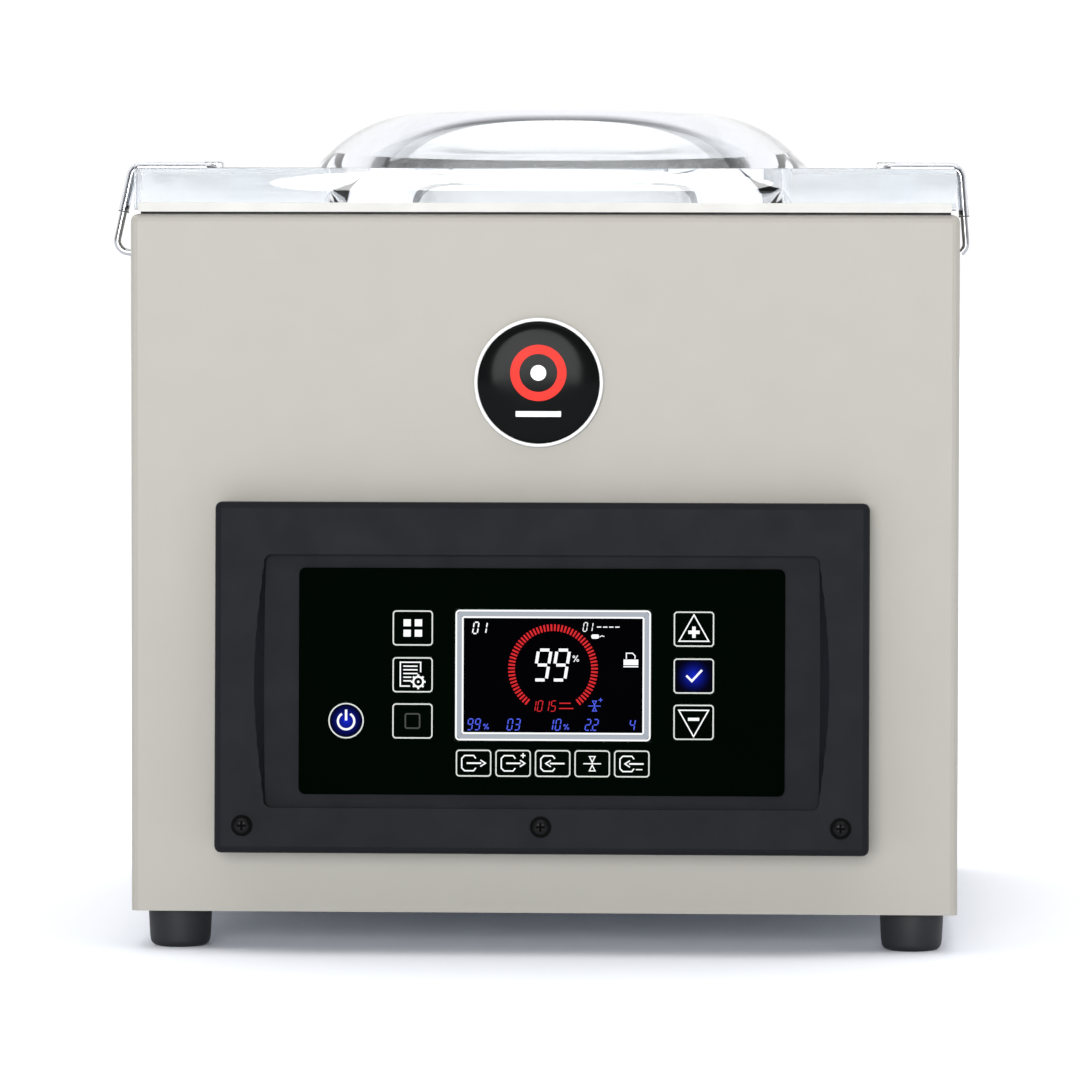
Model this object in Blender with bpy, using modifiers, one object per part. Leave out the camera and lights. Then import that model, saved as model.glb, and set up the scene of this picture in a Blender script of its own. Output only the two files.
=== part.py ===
"""Table-top vacuum chamber sealer: cabinet, clear domed lid, chamber, pump and control panel.

Metres, +Z up. The front faces -Y, and the origin is on the table under the middle of the machine.
"""

import math

import bmesh
import bpy
from mathutils import Matrix, Vector

# Cabinet
CABINET_WIDTH = 0.384
CABINET_FRONT = -0.201
CABINET_REAR = 0.224
CABINET_BOTTOM = 0.018
DECK = 0.342
SHEET = 0.002
RIM = 0.0035
GAP = 0.0003
FOOT_RADIUS = 0.01475
FOOT_INSET = 0.021

# Chamber
TUB_HALF_WIDTH = 0.165
TUB_FRONT = -0.1805
TUB_REAR = 0.1655
TUB_FLOOR = 0.229
TUB_WALL = 0.0015
GASKET_WIDTH = 0.008
GASKET_REAR = 0.1815

# Lid and hinge
LID_WIDTH = 0.3805
LID_FRONT = -0.2005
LID_REAR = 0.1895
LID_BOTTOM = 0.344
LID_THICKNESS = 0.0195
LID_TOP = LID_BOTTOM + LID_THICKNESS
DOME_HALF_WIDTH = 0.121
DOME_HALF_DEPTH = 0.145
DOME_CENTRE_Y = -0.006
HINGE_Y = 0.2095
HINGE_Z = 0.353
SHAFT_RADIUS = 0.005
CRANK_LENGTH = 0.012
CRANK_REST = math.radians(212.5)
PIN_Y = HINGE_Y + CRANK_LENGTH * math.cos(CRANK_REST)
PIN_Z = HINGE_Z + CRANK_LENGTH * math.sin(CRANK_REST)
PIN_RADIUS = 0.0025
SPRING_X = 0.1815
SPRING_Y = 0.1984
SPRING_FOOT_Z = 0.110

# Wire hooks that hold the lid shut in transport
HOOK_Y = -0.1595
HOOK_PIVOT_X = 0.158
HOOK_PIVOT_Z = 0.3638
WIRE_RADIUS = 0.0016
SLEEVE_RADIUS = 0.0024
KEEPER_Z = 0.3234

# Sealing
SEAL_LENGTH = 0.320
SEAL_Y = -0.169
SEAL_TOP = 0.326
SEAL_ROD_X = 0.130

# Control panel, in its own leaning frame: x right, z up the face, y into the machine
PANEL_WIDTH = 0.302
PANEL_BOTTOM = 0.0476
PANEL_HEIGHT = 0.1622
PANEL_FRONT = -0.227
PANEL_LEAN = math.radians(2.83)
PANEL_BACK = CABINET_FRONT - GAP
POCKET_HALF_WIDTH = 0.12775
POCKET_BOW = 0.005
POCKET_LOW = 0.021
POCKET_HIGH = 0.1379
POCKET_DEPTH = 0.005
OVERLAY_HALF_WIDTH = 0.11215
OVERLAY_LOW = 0.0272
OVERLAY_HIGH = 0.1318
DISPLAY_X = 0.0053
DISPLAY_LOW = 0.0523
DISPLAY_SIZE = (0.0903, 0.0604)
KEY_FACE = 0.0033
SIDE_KEY_SIZE = (0.0186, 0.0162)
LOW_KEY_SIZE = (0.0164, 0.0124)
POWER_KEY_RADIUS = 0.0083
SCREW_SPACING = 0.138
SCREW_Z = 0.0127

PARTS = "vacuum_chamber_sealer"
CUTTERS = "cutters"


def clear_scene():
    for obj in list(bpy.data.objects):
        bpy.data.objects.remove(obj)
    for name in (PARTS, CUTTERS):
        collection = bpy.data.collections.new(name)
        bpy.context.scene.collection.children.link(collection)
    bpy.data.collections[CUTTERS].hide_render = True


def paint(name, colour, roughness, metallic=0.0):
    """A Principled material of this colour."""
    made = bpy.data.materials.new(name)
    made.use_nodes = True
    shader = made.node_tree.nodes["Principled BSDF"]
    shader.inputs["Base Color"].default_value = (*colour, 1.0)
    shader.inputs["Roughness"].default_value = roughness
    shader.inputs["Metallic"].default_value = metallic
    made.diffuse_color = (*colour, 1.0)
    return made


def place(name, shape, finish=None):
    """Turns a bmesh into an object: a part where it has a finish, and a hidden helper where it has none."""
    shape.normal_update()
    mesh = bpy.data.meshes.new(name)
    shape.to_mesh(mesh)
    shape.free()
    obj = bpy.data.objects.new(name, mesh)
    if finish:
        mesh.materials.append(finish)
        mesh.shade_smooth()
        mesh.set_sharp_from_angle(angle=math.radians(35))
        bpy.data.collections[PARTS].objects.link(obj)
    else:
        obj.hide_render = True
        obj.display_type = "WIRE"
        bpy.data.collections[CUTTERS].objects.link(obj)
    return obj


def box(name, low, high, finish=None, radius=0.0, edges="xyz", segments=2):
    """A box between two corners, with the edges that run along the named axes rounded."""
    shape = bmesh.new()
    bmesh.ops.create_cube(shape, size=1.0)
    low, high = Vector(low), Vector(high)
    size = high - low
    bmesh.ops.scale(shape, vec=size, verts=shape.verts)
    bmesh.ops.translate(shape, vec=(low + high) / 2, verts=shape.verts)
    if radius:
        chosen = []
        for edge in shape.edges:
            along = (edge.verts[1].co - edge.verts[0].co).normalized()
            axis = max(range(3), key=lambda i: abs(along[i]))
            if "xyz"[axis] in edges:
                chosen.append(edge)
        bmesh.ops.bevel(shape, geom=chosen, offset=radius, segments=segments, profile=0.5,
                        affect="EDGES", clamp_overlap=True)
    return place(name, shape, finish)


def cylinder(name, start, end, radius, finish=None, sides=24):
    """A round bar between two points."""
    shape = bmesh.new()
    start, end = Vector(start), Vector(end)
    run = end - start
    bmesh.ops.create_cone(shape, cap_ends=True, segments=sides, radius1=radius, radius2=radius,
                          depth=run.length)
    turn = Vector((0, 0, 1)).rotation_difference(run).to_matrix().to_4x4()
    bmesh.ops.transform(shape, matrix=Matrix.Translation((start + end) / 2) @ turn, verts=shape.verts)
    return place(name, shape, finish)


def turned(name, profile, finish, steps=32):
    """A solid of revolution about Z, from (radius, height) points that run down its outer side."""
    shape = bmesh.new()
    points = [shape.verts.new((radius, 0.0, height)) for radius, height in profile]
    for first, second in zip(points, points[1:]):
        shape.edges.new((first, second))
    obj = place(name, shape, finish)
    screw = obj.modifiers.new("turn", "SCREW")
    screw.steps = steps
    screw.render_steps = steps
    screw.use_merge_vertices = True
    screw.merge_threshold = 0.00001
    return obj


def tube(name, points, radius, finish=None, resolution=2):
    """A round wire through these points, as a mesh with welded ends."""
    curve = bpy.data.curves.new(name, "CURVE")
    curve.dimensions = "3D"
    curve.bevel_depth = radius
    curve.bevel_resolution = resolution
    curve.use_fill_caps = True
    spline = curve.splines.new("POLY")
    spline.points.add(len(points) - 1)
    for point, place_at in zip(spline.points, points):
        point.co = (*place_at, 1.0)
    guide = bpy.data.objects.new(name + "_guide", curve)
    bpy.data.collections[CUTTERS].objects.link(guide)
    bpy.context.view_layer.update()
    graph = bpy.context.evaluated_depsgraph_get()
    mesh = bpy.data.meshes.new_from_object(guide.evaluated_get(graph))
    bpy.data.objects.remove(guide)
    shape = bmesh.new()
    shape.from_mesh(mesh)
    bpy.data.meshes.remove(mesh)
    bmesh.ops.remove_doubles(shape, verts=shape.verts, dist=0.00001)
    bmesh.ops.recalc_face_normals(shape, faces=shape.faces)
    return place(name, shape, finish)


def boolean(obj, operation, helpers):
    for helper in helpers:
        modifier = obj.modifiers.new(helper.name, "BOOLEAN")
        modifier.operation = operation
        modifier.object = helper
        modifier.solver = "EXACT"


def cut(obj, *helpers):
    boolean(obj, "DIFFERENCE", helpers)


def join(obj, *helpers):
    boolean(obj, "UNION", helpers)


def pivot(name, where, lean=0.0, parent=None):
    """An empty on a joint's axis, which carries the pieces that turn about it."""
    empty = bpy.data.objects.new(name, None)
    empty.location = Vector(where) - (parent.location if parent else Vector())
    empty.rotation_euler.x = lean
    empty.parent = parent
    bpy.data.collections[PARTS].objects.link(empty)
    return empty


def carry(empty, *pieces):
    """Parents pieces to an upright empty, keeping them where they are."""
    bpy.context.view_layer.update()
    for piece in pieces:
        piece.parent = empty
        piece.matrix_parent_inverse = empty.matrix_world.inverted()


def set_in(empty, *pieces):
    """Puts pieces that were drawn in an empty's own frame into that frame."""
    for piece in pieces:
        piece.parent = empty


def bezier(start, first, second, end, count):
    """Points of a cubic curve in the plane, both ends included."""
    points = []
    for i in range(count + 1):
        t = i / count
        weights = ((1 - t) ** 3, 3 * t * (1 - t) ** 2, 3 * t ** 2 * (1 - t), t ** 3)
        corners = (start, first, second, end)
        points.append(tuple(sum(w * c[axis] for w, c in zip(weights, corners)) for axis in (0, 1)))
    return points


def arc(centre, radius, start, end, count, plane):
    """Points on an arc in the plane of two axes, with the third from the centre."""
    first, second = plane
    points = []
    for i in range(count + 1):
        angle = start + (end - start) * i / count
        point = list(centre)
        point[first] += radius * math.cos(angle)
        point[second] += radius * math.sin(angle)
        points.append(tuple(point))
    return points


# ---------------------------------------------------------------- cabinet


def make_cabinet(finish):
    """Folded sheet shell, open at the back and below, with a rounded rim round the deck."""
    half = CABINET_WIDTH / 2
    shell = bmesh.new()
    bmesh.ops.create_cube(shell, size=1.0)
    for vert in shell.verts:
        vert.co = (half if vert.co.x > 0 else -half, CABINET_REAR if vert.co.y > 0 else CABINET_FRONT,
                   DECK if vert.co.z > 0 else CABINET_BOTTOM)
    folds = [edge for edge in shell.edges if max(vert.co.z for vert in edge.verts) > CABINET_BOTTOM]
    bmesh.ops.bevel(shell, geom=folds, offset=0.0034, segments=3, profile=0.5, affect="EDGES")
    cabinet = place("cabinet", shell, finish)
    inside = box("cabinet_inside", (-half + SHEET, CABINET_FRONT + SHEET, 0.0),
                 (half - SHEET, CABINET_REAR + 0.02, DECK - 0.005))
    opening = box("deck_opening", (-half + RIM, CABINET_FRONT + RIM, DECK - 0.02),
                  (half - RIM, CABINET_REAR - RIM, DECK + 0.02))
    cut(cabinet, inside, opening)
    for side in (-1, 1):
        keeper = cylinder(f"keeper_hole_{side}", (side * (half - 0.01), HOOK_Y, KEEPER_Z),
                          (side * (half + 0.01), HOOK_Y, KEEPER_Z), 0.0028, sides=16)
        cut(cabinet, keeper)
        stud = cylinder(f"spring_stud_{side}", (side * (half - 0.0010), SPRING_Y, SPRING_FOOT_Z),
                        (side * (SPRING_X - 0.0045), SPRING_Y, SPRING_FOOT_Z), 0.003, sides=16)
        join(cabinet, stud)
    for x in (-SCREW_SPACING, 0.0, SCREW_SPACING):
        z = PANEL_BOTTOM + SCREW_Z
        hole = cylinder(f"panel_hole_{x:.3f}", (x, CABINET_FRONT - 0.01, z), (x, CABINET_FRONT + 0.01, z),
                        0.0030, sides=16)
        cut(cabinet, hole)
    harness = box("harness_opening", (-0.05, CABINET_FRONT - 0.01, 0.10), (0.05, CABINET_FRONT + 0.01, 0.15))
    cut(cabinet, harness)


def make_base(finish):
    half = CABINET_WIDTH / 2 - SHEET - GAP
    plate = box("base_plate", (-half, CABINET_FRONT + SHEET + GAP, CABINET_BOTTOM),
                (half, CABINET_REAR - SHEET - 2 * GAP, CABINET_BOTTOM + SHEET), finish)
    for i in range(5):
        y = 0.02 + i * 0.016
        cut(plate, box(f"base_vent_{i}", (0.06, y, 0.0), (0.13, y + 0.006, 0.05)))


def make_feet(finish):
    """Four rubber feet, turned, each with a recess for its screw."""
    profile = [(0.0, CABINET_BOTTOM - GAP), (FOOT_RADIUS, CABINET_BOTTOM - GAP), (0.0143, 0.003),
               (0.0134, 0.0009), (0.0118, 0.0), (0.005, 0.0), (0.005, 0.007), (0.0, 0.007)]
    for side, across in (("left", -1), ("right", 1)):
        for end, y in (("front", CABINET_FRONT + FOOT_INSET), ("rear", CABINET_REAR - FOOT_INSET)):
            foot = turned(f"foot_{end}_{side}", profile, finish, steps=20)
            foot.location = (across * (CABINET_WIDTH / 2 - FOOT_INSET), y, 0.0)


def make_rear_panel(finish):
    half = CABINET_WIDTH / 2 - SHEET - GAP
    panel = box("rear_panel", (-half, CABINET_REAR - SHEET, CABINET_BOTTOM + SHEET + GAP),
                (half, CABINET_REAR, DECK - 0.005 - GAP), finish)
    near, far = CABINET_REAR - 0.02, CABINET_REAR + 0.02
    for column, x in enumerate((-0.075, 0.0, 0.075)):
        for row in range(6):
            z = 0.235 + row * 0.012
            cut(panel, box(f"rear_vent_{column}_{row}", (x - 0.03, near, z), (x + 0.03, far, z + 0.005)))
    cut(panel, box("inlet_opening", (0.1157, near, 0.0577), (0.1443, far, 0.1053)))
    cut(panel, cylinder("oil_window", (-0.12, near, 0.075), (-0.12, far, 0.075), 0.016))


def make_inlet(finish):
    """Appliance inlet: a flanged moulding with a plug recess and three blades."""
    x, z = 0.130, 0.0815
    inlet = box("power_inlet", (x - 0.014, CABINET_REAR - 0.026, z - 0.0235),
                (x + 0.014, CABINET_REAR + GAP + 0.0005, z + 0.0235), finish)
    flange = box("inlet_flange", (x - 0.017, CABINET_REAR + GAP, z - 0.0265),
                 (x + 0.017, CABINET_REAR + 0.003, z + 0.0265), radius=0.002, edges="y")
    recess = box("inlet_recess", (x - 0.0115, CABINET_REAR - 0.014, z - 0.019),
                 (x + 0.0115, CABINET_REAR + 0.01, z - 0.001), radius=0.003, edges="y")
    join(inlet, flange)
    cut(inlet, recess)
    for i, (dx, dz) in enumerate(((-0.007, -0.0115), (0.007, -0.0115), (0.0, -0.0075))):
        blade = box(f"inlet_blade_{i}", (x + dx - 0.001, CABINET_REAR - 0.018, z + dz - 0.002),
                    (x + dx + 0.001, CABINET_REAR - 0.001, z + dz + 0.002))
        join(inlet, blade)


def make_badge(finish):
    """Round domed badge on the cabinet front, turned about its own axis."""
    profile = [(0.0, 0.0046), (0.012, 0.0043), (0.021, 0.0035), (0.0272, 0.0022), (0.0285, 0.0026),
               (0.0300, 0.0018), (0.0300, 0.0), (0.0, 0.0)]
    badge = turned("badge", profile, finish, steps=32)
    badge.location = (-0.0023, CABINET_FRONT - GAP, 0.2644)
    badge.rotation_euler.x = math.radians(90)


# ---------------------------------------------------------------- chamber


def make_chamber(finish):
    """Drawn tub and its deck in one piece, with a step round the deck for the gasket."""
    half = CABINET_WIDTH / 2 - RIM - GAP
    front, rear = CABINET_FRONT + RIM + GAP, CABINET_REAR - RIM - GAP
    step = DECK - 0.0012
    chamber = box("vacuum_chamber", (-half, front, DECK - 0.003), (half, rear, step), finish)
    inset = GASKET_WIDTH + GAP
    top = box("deck_top", (-half + inset, front + inset, DECK - 0.0025),
              (half - inset, GASKET_REAR - inset, DECK), radius=0.004, edges="z")
    strip = box("deck_strip", (-half, GASKET_REAR + GAP, DECK - 0.0025), (half, rear, DECK))
    wall = TUB_WALL
    tub = box("tub", (-TUB_HALF_WIDTH - wall, TUB_FRONT - wall, TUB_FLOOR - wall),
              (TUB_HALF_WIDTH + wall, TUB_REAR + wall, DECK - 0.001), radius=0.0105, edges="z", segments=3)
    hollow = box("tub_hollow", (-TUB_HALF_WIDTH, TUB_FRONT, TUB_FLOOR),
                 (TUB_HALF_WIDTH, TUB_REAR, DECK + 0.10), radius=0.009, edges="xyz", segments=3)
    join(chamber, top, strip, tub)
    cut(chamber, hollow)
    for side in (-1, 1):
        inner, outer = sorted((side * 0.1687, side * 0.1868))
        cut(chamber, box(f"crank_slot_{side}", (inner, 0.1845, DECK - 0.02), (outer, 0.2125, DECK + 0.02)))
        rod = cylinder(f"seal_rod_bore_{side}", (side * SEAL_ROD_X, SEAL_Y, TUB_FLOOR - 0.02),
                       (side * SEAL_ROD_X, SEAL_Y, TUB_FLOOR + 0.02), 0.0053)
        cut(chamber, rod)
    low, high = TUB_FLOOR - 0.02, TUB_FLOOR + 0.02
    cut(chamber, cylinder("suction_bore", (0.06, 0.12, low), (0.06, 0.12, high), 0.006))


def make_gasket(finish):
    half = CABINET_WIDTH / 2 - RIM - 2 * GAP
    front = CABINET_FRONT + RIM + 2 * GAP
    bottom, top = DECK - 0.0012 + GAP, LID_BOTTOM - GAP
    gasket = box("chamber_gasket", (-half, front, bottom), (half, GASKET_REAR, top),
                 finish, radius=0.004, edges="z", segments=3)
    inset = GASKET_WIDTH - GAP
    cut(gasket, box("gasket_inside", (-half + inset, front + inset, DECK - 0.05),
                    (half - inset, GASKET_REAR - inset, DECK + 0.05), radius=0.004, edges="z"))


def make_filler_plate(finish):
    """Loose plastic plate on the chamber floor, with four finger holes."""
    low = TUB_FLOOR + GAP
    plate = box("filler_plate", (-0.148, -0.145, low), (0.148, 0.150, low + 0.010),
                finish, radius=0.008, edges="z")
    for x in (-0.11, 0.11):
        for y in (-0.10, 0.105):
            cut(plate, cylinder(f"finger_hole_{x}_{y}", (x, y, low - 0.02), (x, y, low + 0.03), 0.011,
                                sides=20))


def make_seal(bar_finish, wire_finish, rod_finish, cylinder_finish):
    """Seal bar on two lift rods, with its heating wire, and the lift cylinders under the tub."""
    half = SEAL_LENGTH / 2
    bar = box("seal_bar", (-half, SEAL_Y - 0.007, SEAL_TOP - 0.020), (half, SEAL_Y + 0.007, SEAL_TOP),
              bar_finish, radius=0.001)
    wire = box("seal_wire", (-half, SEAL_Y - 0.0015, SEAL_TOP + GAP),
               (half, SEAL_Y + 0.0015, SEAL_TOP + 0.0008),
               wire_finish)
    lift = pivot("seal_lift", (0.0, SEAL_Y, SEAL_TOP))
    carry(lift, bar, wire)
    for side, across in (("left", -1), ("right", 1)):
        x = across * SEAL_ROD_X
        rod = cylinder(f"lift_rod_{side}", (x, SEAL_Y, 0.200), (x, SEAL_Y, SEAL_TOP - 0.020 - GAP), 0.005,
                       rod_finish, sides=20)
        carry(lift, rod)
        body = cylinder(f"lift_cylinder_{side}", (x, SEAL_Y, 0.150), (x, SEAL_Y, TUB_FLOOR - TUB_WALL - GAP),
                        0.020, cylinder_finish)
        cut(body, cylinder(f"lift_bore_{side}", (x, SEAL_Y, 0.192), (x, SEAL_Y, TUB_FLOOR), 0.0053, sides=20))


# ---------------------------------------------------------------- lid


def dome(name, profile, finish=None, exponent=2.3, sides=48):
    """A closed dome through rings of (offset from the rim, height), each a rounded oval in plan."""
    shape = bmesh.new()
    rings = []
    for offset, height in profile:
        ring = []
        for i in range(sides):
            angle = 2 * math.pi * i / sides
            cosine, sine = math.cos(angle), math.sin(angle)
            x = math.copysign(abs(cosine) ** (2 / exponent), cosine) * (DOME_HALF_WIDTH - offset)
            y = math.copysign(abs(sine) ** (2 / exponent), sine) * (DOME_HALF_DEPTH - offset)
            ring.append(shape.verts.new((x, DOME_CENTRE_Y + y, height)))
        rings.append(ring)
    for lower, upper in zip(rings, rings[1:]):
        for i in range(sides):
            j = (i + 1) % sides
            shape.faces.new((lower[i], lower[j], upper[j], upper[i]))
    shape.faces.new(list(reversed(rings[0])))
    shape.faces.new(rings[-1])
    return place(name, shape, finish)


def make_lid(finish):
    """Thick clear plate with a hollow dome, hook grooves and the lugs that the hooks turn in."""
    half = LID_WIDTH / 2
    lid = box("lid", (-half, LID_FRONT, LID_BOTTOM), (half, LID_REAR, LID_TOP), finish, radius=0.0016)
    outer = bezier((0.0, 0.0), (0.013, 0.015), (0.029, 0.0282), (0.064, 0.0282), 7)
    outer = [(-0.0002, -0.001)] + outer
    inner = bezier((0.0165, 0.0), (0.027, 0.010), (0.043, 0.0197), (0.071, 0.0197), 5)
    inner = [(0.0135, -LID_THICKNESS - 0.01)] + inner
    join(lid, dome("dome_outside", [(offset, LID_TOP + height) for offset, height in outer]))
    cut(lid, dome("dome_inside", [(offset, LID_TOP + height) for offset, height in inner]))
    for side in (-1, 1):
        reach = 0.0027
        low, high = sorted((side * (HOOK_PIVOT_X - 0.003), side * (half + 0.01)))
        groove = box(f"hook_groove_{side}", (low, HOOK_Y - reach, HOOK_PIVOT_Z - reach),
                     (high, HOOK_Y + reach, LID_TOP + 0.01))
        low, high = sorted((side * (half - 0.0014), side * (half + 0.01)))
        notch = box(f"hook_notch_{side}", (low, HOOK_Y - reach, LID_BOTTOM - 0.01),
                    (high, HOOK_Y + reach, LID_TOP + 0.01))
        low, high = sorted((side * (HOOK_PIVOT_X - 0.0045), side * (HOOK_PIVOT_X + 0.0045)))
        lug = box(f"hook_lug_{side}", (low, HOOK_Y + 0.0060, LID_TOP - 0.001),
                  (high, HOOK_Y + 0.0160, HOOK_PIVOT_Z + 0.0026), radius=0.0005)
        x = side * HOOK_PIVOT_X
        bore = cylinder(f"hook_bore_{side}", (x, HOOK_Y - 0.001, HOOK_PIVOT_Z),
                        (x, HOOK_Y + 0.0145, HOOK_PIVOT_Z), 0.0019, sides=16)
        join(lid, lug)
        cut(lid, groove, notch, bore)
    return lid


def make_counter_bar(holder_finish, rubber_finish):
    """Channel under the lid's front with the silicone strip that the seal bar presses on."""
    half = SEAL_LENGTH / 2
    top = LID_BOTTOM - GAP
    holder = box("counter_bar_holder", (-half, SEAL_Y - 0.009, 0.3368), (half, SEAL_Y + 0.009, top),
                 holder_finish)
    cut(holder, box("counter_groove", (-half - 0.01, SEAL_Y - 0.0048, 0.33),
                    (half + 0.01, SEAL_Y + 0.0048, 0.3415)))
    rubber = box("counter_bar", (-half, SEAL_Y - 0.0045, 0.3348), (half, SEAL_Y + 0.0045, 0.3412),
                 rubber_finish, radius=0.0008, edges="x")
    return holder, rubber


def make_hinge(block_finish, arm_finish, shaft_finish):
    """Bearing blocks on the deck, the shaft in them, and the two lid arms with their crank pins."""
    carried = []
    for side, across in (("left", -1), ("right", 1)):
        near, far = sorted((across * 0.118, across * 0.132))
        block = box(f"hinge_block_{side}", (near, HINGE_Y - 0.008, DECK + GAP),
                    (far, HINGE_Y + 0.008, HINGE_Z + 0.008), block_finish, radius=0.003, edges="x")
        cut(block, cylinder(f"block_bore_{side}", (near - 0.01, HINGE_Y, HINGE_Z),
                            (far + 0.01, HINGE_Y, HINGE_Z), SHAFT_RADIUS + GAP))
        near, far = sorted((across * 0.136, across * 0.152))
        arm = box(f"hinge_arm_{side}", (near, LID_REAR + GAP, LID_BOTTOM + 0.0005),
                  (far, HINGE_Y - 0.0002, LID_TOP - 0.0016), arm_finish)
        hub = cylinder(f"arm_hub_{side}", (across * 0.136, HINGE_Y, HINGE_Z),
                       (across * 0.1758, HINGE_Y, HINGE_Z), 0.009)
        crank = cylinder(f"crank_{side}", (across * 0.1700, PIN_Y, PIN_Z), (across * 0.1755, PIN_Y, PIN_Z),
                         0.0055, sides=16)
        pin = cylinder(f"crank_pin_{side}", (across * 0.1728, PIN_Y, PIN_Z), (across * 0.1852, PIN_Y, PIN_Z),
                       PIN_RADIUS, sides=16)
        join(crank, pin)
        join(arm, hub, crank)
        cut(arm, cylinder(f"arm_bore_{side}", (across * 0.12, HINGE_Y, HINGE_Z),
                          (across * 0.178, HINGE_Y, HINGE_Z), SHAFT_RADIUS + GAP))
        carried.append(arm)
    shaft = cylinder("hinge_shaft", (-0.1772, HINGE_Y, HINGE_Z), (0.1772, HINGE_Y, HINGE_Z), SHAFT_RADIUS,
                     shaft_finish)
    return carried + [shaft]


def make_gas_springs(body_finish, rod_finish):
    """Upright gas springs that balance the lid; the crank pin runs along the slot in each rod's head."""
    for across, side in ((-1, "left"), (1, "right")):
        x, y, foot = across * SPRING_X, SPRING_Y, SPRING_FOOT_Z
        body = cylinder(f"gas_spring_cylinder_{side}", (x, y, foot + 0.008), (x, y, foot + 0.175), 0.0072,
                        body_finish, sides=20)
        eye = cylinder(f"spring_eye_{side}", (x - 0.0025, y, foot), (x + 0.0025, y, foot), 0.0065, sides=20)
        neck = box(f"spring_neck_{side}", (x - 0.0025, y - 0.003, foot + 0.002),
                   (x + 0.0025, y + 0.003, foot + 0.012))
        join(body, eye, neck)
        bore = cylinder(f"spring_bore_{side}", (x, y, foot + 0.05), (x, y, foot + 0.2), 0.0038, sides=16)
        hole = cylinder(f"spring_foot_hole_{side}", (x - 0.01, y, foot), (x + 0.01, y, foot), 0.0033,
                        sides=16)
        cut(body, bore, hole)
        rod = cylinder(f"gas_spring_rod_{side}", (x, y, foot + 0.070), (x, y, PIN_Z - 0.004), 0.0035,
                       rod_finish, sides=16)
        head = box(f"rod_head_{side}", (x - 0.0025, y - 0.0068, PIN_Z - 0.0053),
                   (x + 0.0025, y + 0.0068, PIN_Z + 0.0053), radius=0.0025, edges="x")
        join(rod, head)
        cut(rod, box(f"rod_slot_{side}", (x - 0.01, y - 0.0040, PIN_Z - PIN_RADIUS - GAP),
                     (x + 0.01, y + 0.0040, PIN_Z + PIN_RADIUS + GAP), radius=0.002, edges="x"))


def hook_route(across, lean, clearance, low_z, tip):
    """Centre line of a hook: pivot end along Y, leg across the lid, drop beside it, and inward tip."""
    x, z = HOOK_PIVOT_X, HOOK_PIVOT_Z
    corner, bend = 0.003, 0.005
    drop_start = LID_WIDTH / 2 + SLEEVE_RADIUS + clearance - bend * math.cos(lean)
    points = [(x, HOOK_Y + 0.0130, z), (x, HOOK_Y + 0.0075, z)]
    points += arc((x + corner, HOOK_Y + corner, z), corner, math.pi, math.pi * 1.5, 4, (0, 1))
    points += arc((drop_start, HOOK_Y, z - bend), bend, math.pi / 2, lean, 6, (0, 2))
    top_x, _, top_z = points[-1]
    low_x = top_x + (top_z - low_z) * math.tan(lean)
    points.append((low_x, HOOK_Y, low_z))
    points += tip(low_x, low_z)
    return [(across * px, py, pz) for px, py, pz in points]


def make_hooks(wire_finish, sleeve_finish):
    """Sprung wire hooks on the lid's sides; each tip stands just off its keeper hole."""
    stop_x = CABINET_WIDTH / 2 + 0.0006
    shapes = (
        ("left", -1, math.radians(12.5), 0.0030, 0.3300,
         lambda x, z: [(x + 0.0002, HOOK_Y, z - 0.0022), (x - 0.0010, HOOK_Y, z - 0.0042),
                       (x - 0.0032, HOOK_Y, z - 0.0056), (stop_x, HOOK_Y, z - 0.0066)]),
        ("right", 1, math.radians(4.5), 0.0002, 0.3290,
         lambda x, z: [(x - 0.0001, HOOK_Y, z - 0.0022), (x - 0.0006, HOOK_Y, z - 0.0040),
                       (x - 0.0013, HOOK_Y, z - 0.0056)]),
    )
    pairs = []
    for side, across, lean, clearance, low_z, tip in shapes:
        route = hook_route(across, lean, clearance, low_z, tip)
        wire = tube(f"lid_hook_{side}", route, WIRE_RADIUS, wire_finish)
        sleeve_end = LID_BOTTOM - (0.0012 if side == "left" else 0.0030)
        covered = [p for p in route if abs(p[0]) > HOOK_PIVOT_X + 0.0025 and p[2] > sleeve_end]
        last, after = covered[-1], route[route.index(covered[-1]) + 1]
        share = (last[2] - sleeve_end) / (last[2] - after[2])
        covered.append(tuple(a + (b - a) * share for a, b in zip(last, after)))
        sleeve = tube(f"hook_sleeve_{side}", covered, SLEEVE_RADIUS, sleeve_finish)
        bore_points = [tuple(2 * a - b for a, b in zip(covered[0], covered[1]))] + covered
        bore_points.append(tuple(a + (a - b) * 0.2 for a, b in zip(covered[-1], covered[-2])))
        cut(sleeve, tube(f"sleeve_bore_{side}", bore_points, WIRE_RADIUS + 0.0002))
        pairs.append((across, wire, sleeve))
    return pairs


# ---------------------------------------------------------------- machinery


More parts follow.
